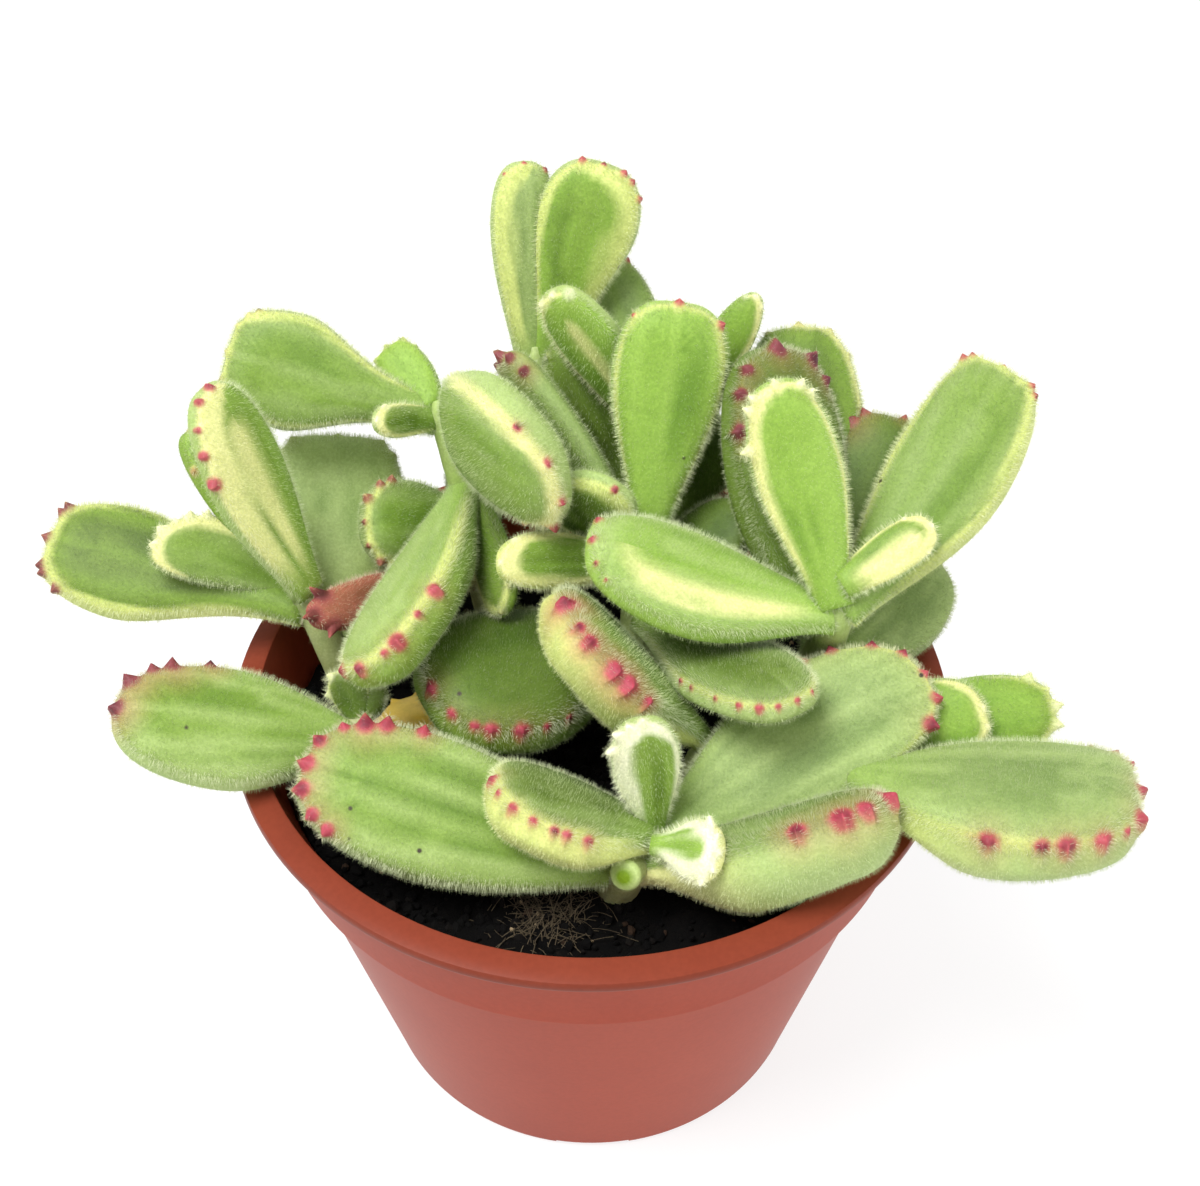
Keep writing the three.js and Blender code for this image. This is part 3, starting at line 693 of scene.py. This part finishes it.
# Each shoot has its stem first, as x, y, z and radius, and then its leaves
SHOOTS = {
    "left_shoot": [
        [(-30, 2, 47, 2.3), (-32, 3.5, 59, 2.2), (-36, 5.5, 72, 1.7)],
        leaf((-36, 5, 69), (-68, 11.5, 75), 14, 26,
             coat("moss", "leafy", "lemon", "dark", left=0.1, right=0.08, tip=0.14),
             first=0.72, right=2, full=1.5, shoulder=0.7, arch=6, blunt=0.6, deep=4.5),
        leaf((-36.5, 7, 69.5), (-53.3, 6.5, 78.3), 8.2, 40,
             coat("leafy", "sage", "sage", "none", right=0.3, tip=0.25, pale="butter", spot=1.2),
             teeth=5, first=0.45, left=0, stalk=3.5, bow=1.8, tooth=0.9),
        leaf((-35, 5, 71.5), (-43.7, 10, 98.7), 11.5, -6,
             coat("leafy", "spring", "mist", "crimson", left=0.55, stripe=(-0.1, 0.5), pale="butter"),
             teeth=4, first=0.5, right=0, deep=3.4, tooth=1),
        leaf((-37, 8, 71), (-49.6, 18.6, 86.4), 7.5, -20, coat("leafy", "spring", "leafy", "pale"),
             teeth=1, stalk=3, tooth=0.6),
        leaf((-33, 5, 63), (-33, 26, 80), 16.5, -10, coat("mist", "mist", "mist", "faint"),
             full=0.6, shoulder=0.7, tooth=0.5, blunt=0.45),
    ],
    "back_left_shoot": [
        [(-13, 22, 47, 2.6), (-15, 19, 66, 2.4), (-16, 18, 78, 2.1), (-19, 20, 90, 1.5)],
        leaf((-19, 20, 87.5), (-44.3, 22.5, 95.5), 13.7, 50,
             coat("leafy", "sage", "sage", "brown", right=0.12, left=0.03, tip=0.08),
             first=0.7, full=1.6, shoulder=0.7, blunt=0.55, tooth=0.7),
        leaf((-16, 21, 88.5), (-3.6, -0.8, 91), 13.8, -90,
             coat("leafy", "sage", "mist", "crimson", left=0.1, tip=0.14, pale="butter", halo=0.15),
             teeth=2, first=0.62, arch=-75, bow=-3.4, crown=2.5, deep=7, full=0.5, tooth=0.9),
        leaf((-19.5, 20, 89), (-25.5, 27, 93), 6, 30,
             coat("apple", "spring", "spring", "faint", left=0.06, tip=0.05),
             teeth=2, stalk=3, tooth=0.6, blunt=0.5, full=0.6),
        leaf((-19.5, 19.5, 87.5), (-25.5, 13, 92), 4, 65,
             coat("leafy", "mist", "mist", "none", left=0.25, right=0.1, tip=0.4, pale="butter"),
             teeth=1, stalk=3, tooth=0.3),
        leaf((-16, 18, 78), (-26.2, -14, 77.5), 13, -38,
             coat("mist", "leafy", "leafy", "crimson", left=0.09, tip=0.08, halo=0.15, spot=1.2),
             teeth=4, first=0.5, right=1, deep=6, tooth=0.9),
        leaf((-14.5, 18.5, 70.5), (-28, 11.5, 77.5), 11, 50,
             coat("leafy", "sage", "sage", "rust", left=0.1, tip=0.1, spot=0.8)),
        leaf((-15, 17, 77), (-11, 0, 73), 6.5, -60,
             coat("leafy", "moss", "leafy", "faint", right=0.4, tip=0.15), teeth=1, stalk=3.5, tooth=0.4),
        leaf((-15.5, 18.5, 63), (-33.4, -1.2, 73.6), 6, 45,
             coat("blush", "blush", "blush", "rust", halo=0.9, spot=1.8),
             deep=2.6, tooth=1.9, teeth=1, full=1.3),
        leaf((-15, 20, 68), (-16, 40, 69), 8.5, 0, coat("sage", "sage", "sage", "crimson")),
    ],
    "tall_shoot": [
        [(-4, 26, 47, 2.4), (-6, 28, 70, 2.2), (-7, 29, 92, 1.7)],
        leaf((-7, 29, 88), (-8, 37.5, 112.5), 8.5, -12,
             coat("sage", "mist", "mist", "crimson", left=0.45, spot=0.6),
             teeth=1, first=0.8, shoulder=0.68, tooth=0.5),
        leaf((-6, 29, 89), (1.6, 36, 113), 12, -41,
             coat("leafy", "apple", "mist", "crimson", left=0.14, right=0.36, tip=0.06, spot=0.7,
                  streak=0.8), first=0.68, left=1, full=1.2, shoulder=0.74, deep=3.6, tooth=0.9),
        leaf((-5.5, 27.5, 68), (-2.5, 47, 75.5), 12, 0, coat("sage", "sage", "sage", "crimson")),
        leaf((-6.5, 28.5, 80), (-4, 42, 88), 7, 0, coat("apple", "apple", "sage", "none"), stalk=3.5),
    ],
    "back_shoot": [
        [(9, 23, 47, 2.4), (9, 21, 70, 2.2), (8.5, 20, 87, 1.7)],
        leaf((8, 21, 80), (2.2, 38, 99.2), 9.4, 20,
             coat("sage", "leafy", "sage", "crimson", spot=0.8, halo=0.1), teeth=1, first=0.74, blunt=0.95),
        leaf((8, 20.2, 85), (-4.5, 20.8, 104.4), 8, 105,
             coat("apple", "spring", "mist", "none", stripe=(0.1, 0.35), left=0.12, pale="butter"),
             teeth=1, first=0.8, tooth=0.4),
        leaf((9.5, 20, 83), (20.2, 25.5, 101.3), 5.5, -50,
             coat("apple", "leafy", "apple", "none", right=0.22, pale="butter"),
             teeth=1, first=0.8, tooth=0.3, blunt=0.95),
        leaf((7.5, 20, 74), (-3, 24, 95.5), 11, 60, coat("moss", "leafy", "moss", "faint")),
        leaf((10, 20, 72), (15.5, 21, 86), 11, -60, coat("deep", "moss", "deep", "faint")),
        leaf((9, 21.5, 66), (13, 45, 71), 12.5, 0, coat("moss", "moss", "moss", "crimson")),
    ],
    "middle_shoot": [
        [(7, 9, 47, 2.6), (6, 4, 66, 2.4), (6, 6, 81, 1.7)],
        leaf((7, 7, 79), (10.4, 19.2, 104), 13, -12,
             coat("apple", "spring", "spring", "crimson", left=0.06, right=0.08, spot=0.7, streak=0.8),
             teeth=1, first=0.68, full=1, shoulder=0.7, deep=3.6, blunt=0.6, tooth=0.8),
        leaf((5, 7.5, 75), (-10.8, 20.6, 95.5), 9.5, 105,
             coat("moss", "sage", "sage", "dark", halo=0.3, spot=1.2),
             teeth=2, first=0.72, left=1, tooth=1.4),
        leaf((4, 5.5, 78), (-3.2, 5.5, 88.7), 12, 115,
             coat("deep", "leafy", "mist", "crimson", left=0.2, right=0.2, spot=0.6),
             teeth=1, stalk=3, tooth=0.5, deep=3),
        leaf((5, 3.5, 77), (-10.3, -3.5, 84), 6.5, 50,
             coat("leafy", "apple", "lemon", "none", left=0.35, right=0.22, tip=0.7, pale="butter"),
             teeth=1, stalk=3.5, bow=0.6, tooth=0.3),
        leaf((5, 3.5, 65), (-18.8, -10.6, 70.5), 19, 8,
             coat("deep", "moss", "leafy", "crimson", halo=0.14, spot=1.25, streak=0.5),
             teeth=6, first=0.36, right=0, full=0.7, deep=8.5, tooth=0.6),
        leaf((7, 5.5, 72), (19, 11, 80), 9, -10, coat("deep", "moss", "deep", "none"),
             teeth=0, first=0.85, tooth=0.4, deep=3),
        leaf((6.8, 3, 69), (22.6, -19.8, 78.1), 13, 5,
             coat("moss", "sage", "mist", "crimson", right=0.04, tip=0.04, spot=0.7),
             teeth=6, first=0.4, left=1, deep=3.9, full=1, tooth=0.6),
    ],
    "right_shoot": [
        [(26, -2, 47, 2.7), (28.3, -1.4, 66, 2.5), (29, -6, 79, 1.9)],
        leaf((29, -6, 78), (49.4, 17, 96.7), 13.5, -10,
             coat("leafy", "sage", "lemon", "crimson", right=0.12, left=0.06, tip=0.08, spot=0.7),
             teeth=2, first=0.78, bow=1.2, blunt=0.5, tooth=0.8),
        leaf((28.5, -5.5, 77.5), (0.5, -5.5, 89), 14, 10,
             coat("apple", "mist", "spring", "crimson", stripe=(-0.5, 0.38), pale="butter", spot=0.6),
             teeth=2, first=0.76, right=1, deep=4, arch=20, tooth=0.6),
        leaf((28.6, -6, 79), (20.6, 5, 102.7), 9.7, 33,
             coat("apple", "spring", "spring", "none", left=0.26, right=0.05, tip=0.06, pale="butter",
                  streak=0.8), first=0.58, right=2, full=1, blunt=0.7, tooth=1.3),
        leaf((28.8, -6, 82.5), (39, -2, 88.2), 5.4, -30,
             coat("leafy", "leafy", "mist", "none", stripe=(0.15, 0.7), left=0.1, right=0.5, tip=0.4,
                  pale="butter"), teeth=1, stalk=3.5, blunt=0.6, tooth=0.3),
        leaf((28, -3, 72), (22, 18, 98.8), 16, -20,
             coat("deep", "moss", "moss", "dark", halo=0.3, spot=1.3, inset=0.4),
             first=0.5, right=2, full=0.6),
        leaf((29, -2, 72), (38.5, 17, 89), 14.5, -12,
             coat("deep", "moss", "moss", "rust", halo=0.3, spot=1.3),
             teeth=2, first=0.7, blunt=0.5, tooth=1.4),
        leaf((29, -4, 67), (45, 13, 69), 12.5, -25, coat("sage", "mist", "sage", "none"),
             teeth=0, first=0.85, blunt=0.8, tooth=0.4),
        leaf((27, 0, 73), (26, 27.5, 95.6), 14.5, 5,
             coat("deep", "leafy", "mist", "brown", right=0.06, pale="butter"),
             teeth=2, first=0.66, full=0.7, blunt=0.6, tooth=0.8),
        leaf((28, -1.5, 65), (38, 23, 68), 12, 0, coat("sage", "sage", "sage", "crimson")),
    ],
    "front_shoot": [
        [(2, -24, 47, 2.8), (4, -27, 57, 2.5), (7, -26, 63, 1.8)],
        leaf((7, -26.4, 60), (38.6, -11.2, 73.3), 16.2, -20,
             coat("sage", "mist", "sage", "crimson", tip=0.05, halo=0.1, spot=1.3),
             teeth=4, first=0.5, right=2, bow=-1.4, crown=1.2),
        leaf((7, -26, 62), (-10.8, -24.7, 70.3), 15.6, -27,
             coat("moss", "sage", "lemon", "crimson", left=0.08, tip=0.12, halo=0.2, spot=1.1),
             teeth=6, first=0.3, right=0, deep=5.6, full=0.6, tooth=0.7),
        leaf((5, -27.5, 58), (32.2, -28.6, 71.6), 16, 44,
             coat("moss", "sage", "mist", "crimson", foot="butter", halo=0.4, spot=1.6),
             first=0.55, left=0, deep=8.2),
        leaf((2.5, -27.5, 58.4), (-32.5, -20.8, 68.8), 16, 28,
             coat("leafy", "mist", "sage", "crimson", halo=0.4, spot=1.4, inset=0.55),
             teeth=5, first=0.52, left=3, full=0.65, tooth=1.2),
        leaf((7, -25, 62), (5.6, -24.5, 79.2), 7.2, 65,
             coat("leafy", "spring", "mist", "none", left=0.5, right=0.1, tip=0.3, pale="white"),
             first=0.62, right=0, stalk=3, tooth=0.9),
        leaf((7, -29, 64.2), (13.4, -34.2, 69.4), 6.6, -45,
             coat("spring", "spring", "butter", "none", left=0.5, right=0.75, tip=0.7, pale="white"),
             teeth=2, stalk=2.6, full=1.3, tooth=0.9),
        leaf((29.5, -20, 65.5), (61, -25.5, 69), 20, 15,
             coat("sage", "mist", "mist", "crimson", right=0.03, foot="lemon", halo=0.25, spot=1.3),
             teeth=6, first=0.36, left=3, deep=8.4, full=0.7, arch=-20, bow=3.5, blunt=0.5),
        leaf((29, -15, 63.5), (55, -11, 67.5), 10.5, -40, coat("apple", "leafy", "apple", "none", tip=0.1),
             teeth=2, first=0.72, stalk=3.5, deep=2.2, tooth=1.1),
        leaf((29, -15, 62), (45.8, -13.5, 70), 10.5, -40,
             coat("apple", "leafy", "apple", "none", right=0.1, tip=0.2, pale="butter"),
             teeth=1, first=0.84, left=0, stalk=3.5, tooth=0.4),
    ],
    "inner_front_shoot": [
        [(12, -12, 47, 2.5), (13.6, -13.8, 63.4, 2)],
        leaf((13.9, -12.8, 63.4), (-2.6, -11.2, 84.4), 16.6, -24,
             coat("leafy", "sage", "lemon", "crimson", halo=0.75, spot=1.5),
             teeth=5, first=0.4, right=0, deep=6.5, full=1.1, stalk=3.6, blunt=0.5),
    ],
    "low_left_shoot": [
        [(-27, -5, 47, 2.4), (-28, -9, 60, 2.1), (-28.5, -10, 65, 1.8)],
        leaf((-28.5, -12, 63), (-54, -16, 73), 14, 20,
             coat("leafy", "mist", "mist", "dark", halo=0.6, spot=1.5),
             teeth=4, first=0.5, left=0, deep=6, full=0.7, shoulder=0.56, blunt=0.8),
        leaf((-28, -9.5, 64), (-29.8, -6.4, 69.4), 5, 20,
             coat("deep", "moss", "moss", "none", left=0.1, right=0.1, spot=1.2),
             teeth=2, first=0.45, stalk=3, tooth=0.7, deep=2.2, crown=1.4),
        leaf((-28, -9.5, 64), (-25.6, -7, 67.4), 3.6, -20, coat("deep", "moss", "moss", "none", spot=1.2),
             teeth=1, first=0.6, stalk=2.4, tooth=0.5, deep=1.6, crown=1),
    ],
}
LOW_BRANCH = [(3.5, -26, 56, 2.0), (16, -21, 57, 2.2), (26, -16.5, 59.5, 2.1), (30, -19, 66, 1.8)]
STUB = [(5.2, -28.2, 59.6, 1.5), (3.5, -32, 62.3, 1.9)]


def build_stub():
    """The short cut end of an old leaf stalk: a pale ring round a green middle."""
    verts, faces, color, edge, bald = build_stem(STUB)
    start, end = (np.array(point[:3], float) for point in STUB)
    long = np.linalg.norm(end - start)
    axis = (end - start) / long
    along = (verts - start) @ axis
    far = along / long
    out = np.linalg.norm(verts - start - np.outer(along, axis), axis=1)
    color = mix(color, CUT_RING, smooth((far - 0.6) / 0.3))
    middle = smooth((1.45 - out) / 0.5) * (far > 0.9)
    color = mix(color, CUT_MIDDLE, middle)
    return verts, faces, color, edge, np.maximum(bald, middle)


SEED_STEP = 1.7
rng = np.random.default_rng(11)
for shoot, (stem, *leaves) in SHOOTS.items():
    parts = [build_stem(stem)]
    if shoot == "front_shoot":
        parts += [build_stem(LOW_BRANCH), build_stub()]
    parts += [build_leaf(*row, number * SEED_STEP + 1) for number, row in enumerate(leaves)]
    verts, faces, colors, edge, bald = zip(*parts)
    first = np.cumsum([0] + [len(v) for v in verts])
    faces = [f + n for f, n in zip(faces, first)]
    verts, faces, colors, edge, bald = map(np.concatenate, (verts, faces, colors, edge, bald))
    piece = make_object(shoot + "_skin", verts, faces, colors, SKIN)
    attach(piece, "root")
    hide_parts(shoot)
    a, b, c = np.moveaxis(verts[faces], 1, 0)
    area = np.linalg.norm(np.cross(b - a, c - a), axis=1).sum() / 2
    spikes = build_hairs(verts, faces, colors, edge, bald, int(area * HAIRS_PER_MM2), rng)
    hairs = make_object(shoot + "_hair", *spikes, HAIR, smooth_faces=False)
    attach(hairs, "root")

# The old yellow leaf on the soil
YELLOW_TONES = linear((206, 172, 60)), linear((222, 196, 108))
OLD_LEAF = leaf((-3, 2, 54.2), (-27, -1.5, 55), 9, 0, coat("spring", "spring", "mist", "pale"),
                teeth=2, crown=1.0, deep=2.4)
verts, faces, *_ = build_leaf(*OLD_LEAF)
colors = mix(*YELLOW_TONES, noise(verts * 0.5))
material = tinted_material("yellow_skin", 0.6, 600, 0.3, 0.1)
yellow = make_object("yellow_leaf_skin", verts, faces, colors, material)
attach(yellow, "root")
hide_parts("yellow_leaf")


# Pot
def lathe(profile, sides):
    """Vertices and quads of a turned shell from pairs of radius and height."""
    radius, height = np.array(profile, float).T
    a = np.linspace(0, 2 * math.pi, sides, endpoint=False)
    x, y = np.outer(radius, np.cos(a)), np.outer(radius, np.sin(a))
    verts = np.stack([x, y, np.repeat(height[:, None], sides, 1)], 2).reshape(-1, 3)
    q0, q1 = ring_corners(len(profile), sides)
    return verts, np.stack([q0, q1, q1 + sides, q0 + sides], 1)


def near(radius, height, *steps):
    """Profile points given as small steps from one corner of the pot."""
    return [(radius + dr, height + dz) for dr, dz in steps]


collar_in, body_in, base_in = COLLAR_RADIUS - WALL, BODY_TOP_RADIUS - WALL, BASE_RADIUS - WALL
lip_low = POT_HEIGHT - FLANGE_LIP
turns = np.radians(np.linspace(-80, 0, 6))
foot_arc = [(FOOT_ROUND * math.cos(t), FOOT_ROUND * math.sin(t)) for t in turns]
profile = [(BASE_RADIUS - BASE_ROUND, 0.0)]
profile += near(BASE_RADIUS - 1.2, FOOT_ROUND, *foot_arc)
profile += [(BODY_TOP_RADIUS, COLLAR_FOOT - 0.6)]
profile += near(COLLAR_RADIUS, COLLAR_FOOT, (-0.5, 0.1), (-0.1, 0.45), (0, 0.9))
profile += near(COLLAR_RADIUS, lip_low, (0.2, -0.4), (0.35, -0.1), (0.7, 0))
profile += near(RIM_RADIUS, lip_low, (-0.6, 0), (-0.15, 0.15), (0, 0.5))
profile += near(RIM_RADIUS, POT_HEIGHT - FLANGE_DROP, (0, -0.45), (-0.12, -0.1), (-0.4, 0))
profile += near(RIM_RADIUS - FLANGE_WIDTH, POT_HEIGHT, (0.5, 0), (0.15, -0.1), (0, -0.4))
profile += [(collar_in, POT_HEIGHT - 6), (collar_in - 0.1, COLLAR_FOOT + 2), (body_in, COLLAR_FOOT - 1)]
profile += [(base_in, FLOOR + 0.5), (base_in - 1, FLOOR)]
pot = make_object("pot_shell", *lathe(profile, POT_SIDES))
bm = bmesh.new()
bm.from_mesh(pot.data)
bmesh.ops.holes_fill(bm, edges=[e for e in bm.edges if e.is_boundary], sides=0)
bmesh.ops.recalc_face_normals(bm, faces=bm.faces)
bm.to_mesh(pot.data)
bm.free()


def cutter(name, build, matrix):
    """A loose body made by build and moved by matrix, for carve to cut with."""
    mesh = bpy.data.meshes.new(name)
    bm = bmesh.new()
    build(bm)
    bmesh.ops.transform(bm, matrix=matrix, verts=bm.verts)
    bm.to_mesh(mesh)
    bm.free()
    return add_object(name, mesh)


def carve(target, tool):
    modifier = target.modifiers.new("cut", "BOOLEAN")
    modifier.operation = "DIFFERENCE"
    modifier.object = tool
    modifier.solver = "EXACT"
    graph = bpy.context.evaluated_depsgraph_get()
    done = bpy.data.meshes.new_from_object(target.evaluated_get(graph))
    target.modifiers.clear()
    target.data = done
    bpy.data.objects.remove(tool)


def block(bm):
    bmesh.ops.create_cube(bm, size=1)


def peg(bm):
    size = dict(radius1=DRAIN_RADIUS * MM, radius2=DRAIN_RADIUS * MM, depth=3 * FLOOR * MM)
    bmesh.ops.create_cone(bm, cap_ends=True, segments=32, **size)


groove_long = BASE_RADIUS + 3 - GROOVE_INNER
groove_size = Matrix.Diagonal((groove_long * MM, GROOVE_WIDTH * MM, 2 * GROOVE_HEIGHT * MM, 1))
groove_place = Matrix.Translation(((GROOVE_INNER + groove_long / 2) * MM, 0, 0))
drain_place = Matrix.Translation((DRAIN_AT * MM, 0, FLOOR / 2 * MM))
for i in range(GROOVE_COUNT):
    turn = Matrix.Rotation(i * 2 * math.pi / GROOVE_COUNT - math.pi / 2, 4, "Z")
    carve(pot, cutter("groove", block, turn @ groove_place @ groove_size))
    carve(pot, cutter("drain", peg, turn @ drain_place))

# Painted shade: the rim and the inside are painted a deeper brown than the outer wall, for the shade that
# falls there
tint = pot.data.color_attributes.new("tint", "FLOAT_COLOR", "POINT")
for vertex, mark in zip(pot.data.vertices, tint.data):
    reach, height = math.hypot(vertex.co.x, vertex.co.y) / MM, vertex.co.z / MM
    wall_middle = BASE_RADIUS - 1.4 + (COLLAR_RADIUS - BASE_RADIUS) * height / POT_HEIGHT
    if height > lip_low - 0.2:
        mark.color = RIM_PAINTED_SHADE
    elif height > FLOOR and reach < wall_middle:
        mark.color = INNER_PAINTED_SHADE
    else:
        mark.color = (1, 1, 1, 1)
pot.data.materials.append(pot_material())
pot.data.shade_smooth()
pot.data.set_sharp_from_angle(angle=math.radians(35))
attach(pot, "root")
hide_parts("pot")


# Soil
def soil_height(x, y):
    """The waved top of the soil, as in the part's source."""
    wave = np.sin(0.19 * x + 1) * np.cos(0.23 * y - 0.5) + 0.6 * np.sin(0.31 * (x + y))
    return SOIL_TOP + SOIL_WAVE * wave


SOIL_SIDES, SOIL_RINGS = 150, 52
radii = [base_in - CLEARANCE - 1, base_in - CLEARANCE, body_in - CLEARANCE]
heights = [FLOOR + CLEARANCE, FLOOR + 2, COLLAR_FOOT - 1.4]
a = np.linspace(0, 2 * math.pi, SOIL_SIDES, endpoint=False)
rows = [np.stack([r * np.cos(a), r * np.sin(a), 0 * a + z], 1) for r, z in zip(radii, heights)]
for r in np.linspace(collar_in - CLEARANCE - 0.6, 0.2, SOIL_RINGS):
    x, y = r * np.cos(a), r * np.sin(a)
    p = np.stack([x, y, 0 * x], 1)
    rough = 1.1 * (noise(p * 0.9 + 9) - 0.5) + 0.7 * (noise(p * 2.2 + 5) - 0.5)
    rows.append(np.stack([x, y, soil_height(x, y) + rough], 1))
q0, q1 = ring_corners(len(rows), SOIL_SIDES)
faces = np.concatenate([
    np.stack([q0, q1, q1 + SOIL_SIDES], 1), np.stack([q0, q1 + SOIL_SIDES, q0 + SOIL_SIDES], 1),
    cap(0, SOIL_SIDES, True), cap((len(rows) - 1) * SOIL_SIDES, SOIL_SIDES, False),
])
soil = make_object("soil_bed", np.concatenate(rows), faces, material=soil_material())
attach(soil, "root")
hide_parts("soil")

# Crumbs, bark chips and pale grit on the soil
bm = bmesh.new()
bmesh.ops.create_icosphere(bm, subdivisions=1, radius=1)
ball = np.array([v.co[:] for v in bm.verts])
ball_faces = np.array([[v.index for v in f.verts] for f in bm.faces])
bm.free()
CRUMBS = 3600
CRUMB_REACH = 39.0
CRUMB_TONES = [linear(c) for c in ((5, 4, 4), (9, 8, 7), (18, 15, 13), (56, 42, 32), (156, 136, 106))]
CRUMB_CHANCES = (0.5, 0.34, 0.12, 0.025, 0.015)
PALE_GRIT = 4
rng = np.random.default_rng(23)
crumb_v, crumb_f, crumb_c = [], [], []
for i in range(CRUMBS):
    reach = CRUMB_REACH * math.sqrt(rng.random())
    around = rng.random() * 2 * math.pi
    kind = rng.choice(len(CRUMB_TONES), p=CRUMB_CHANCES)
    size = (0.25 + 0.55 * rng.random() ** 2) * (0.7 if kind == PALE_GRIT else 1.0)
    x, y = reach * math.cos(around), reach * math.sin(around)
    lump = ball * (size * rng.uniform(0.6, 1.3, 3)) * rng.uniform(0.75, 1.25, (len(ball), 1))
    spin = Matrix.Rotation(rng.random() * 6.3, 3, Vector(rng.normal(size=3)).normalized())
    lump = lump @ np.array(spin)
    z = soil_height(x, y) + 0.25 * size + 0.1
    crumb_v.append(lump + (x, y, z))
    crumb_f.append(ball_faces + i * len(ball))
    crumb_c.append(np.tile(CRUMB_TONES[kind], (len(ball), 1)))
grit = tinted_material("soil_grit", 0.95, 1500, 0.4)
crumbs = make_object("soil_crumbs", *map(np.concatenate, (crumb_v, crumb_f, crumb_c)), grit, False)
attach(crumbs, "root")

# A dry grey-brown tuft of old fibres at the front, each a narrow band of three cells
FIBRES = 420
FIBRE_LENGTH = (1.2, 3.2)
FIBRE_HALF = 0.05
FIBRE_TONES = linear((92, 82, 64)), linear((70, 60, 48))
FIBRE_STEPS = (0, 0.33, 0.66, 1)
root = np.stack([rng.normal(-5, 2.6, FIBRES), rng.normal(-29.5, 2.8, FIBRES)], 1)
fibre_v, fibre_f = [], []
for x, y in root:
    start = np.array([x, y, soil_height(x, y) + 0.3])
    way = unit(rng.normal(size=3) * (1, 1, 0.5))
    tall = rng.uniform(*FIBRE_LENGTH)
    curl = rng.normal(size=3) * 0.5
    side = FIBRE_HALF * unit(np.cross(way, (0.1, 0.2, 1.0)))
    for k, t in enumerate(FIBRE_STEPS):
        q = len(fibre_v)
        point = start + way * tall * t + curl * t * t + (0, 0, 0.9 * t * (1 - t))
        fibre_v += [point - side, point + side]
        if k:
            fibre_f += [(q - 2, q - 1, q + 1), (q - 2, q + 1, q)]
fibre_color = mix(*FIBRE_TONES, rng.random(len(fibre_v)))
fibre = tinted_material("dry_fibre", 0.9, 900, 0.2)
tuft = make_object("dry_fibres", fibre_v, fibre_f, fibre_color, fibre, False)
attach(tuft, "root")

# Floor, light and camera
FLOOR_HALF = 6000
FLOOR_GREY = (0.26, 0.26, 0.26, 1)
FLOOR_GLOW = 0.76
SKY_GLOW = 0.68
LIGHT_TARGET = Vector((0, 0, 0.06))

material, _, shader = new_material("pale_floor")
shader.inputs["Base Color"].default_value = FLOOR_GREY
shader.inputs["Emission Color"].default_value = (1, 1, 1, 1)
shader.inputs["Emission Strength"].default_value = FLOOR_GLOW
shader.inputs["Roughness"].default_value = 0.7
corners = [(x * FLOOR_HALF, y * FLOOR_HALF, 0) for x, y in ((-1, -1), (1, -1), (1, 1), (-1, 1))]
floor = make_object("floor", corners, [(0, 1, 2, 3)], None, material, False)

scene = bpy.context.scene
world = bpy.data.worlds.new("studio")
scene.world = world
world.use_nodes = True
sky = world.node_tree.nodes["Background"]
sky.inputs["Color"].default_value = (1.0, 1.0, 1.0, 1)
sky.inputs["Strength"].default_value = SKY_GLOW


def area_light(name, place, size, power):
    """A round lamp that shines at the plant."""
    data = bpy.data.lights.new(name, "AREA")
    data.shape = "DISK"
    data.size = size
    data.energy = power
    light = add_object(name, data)
    light.location = place
    light.rotation_mode = "QUATERNION"
    light.rotation_quaternion = (LIGHT_TARGET - Vector(place)).to_track_quat("-Z", "Y")


area_light("key", place=(-0.25, -0.15, 0.75), size=0.4, power=6.4)
area_light("fill", place=(0.55, -0.5, 0.45), size=0.7, power=2.0)

# The camera that the rim and the base of the pot were fitted with
CAMERA_PLACE = (0, -0.14176, 0.20649)
camera_data = bpy.data.cameras.new("camera")
camera_data.lens = 48.0
camera_data.sensor_width = 36.0
camera_data.clip_start = 0.01
camera_data.clip_end = 50.0
camera = add_object("camera", camera_data)
forward = Vector((0.0056, 0.7356, -0.6774)).normalized()
right = Vector((0.99998, -0.00584, 0.0019)).normalized()
above = right.cross(forward).normalized()
right = forward.cross(above)
turned = Matrix((right, above, -forward)).transposed().to_4x4()
camera.matrix_world = Matrix.Translation(CAMERA_PLACE) @ turned
scene.camera = camera
scene.view_settings.view_transform = "Standard"
scene.view_settings.look = "None"
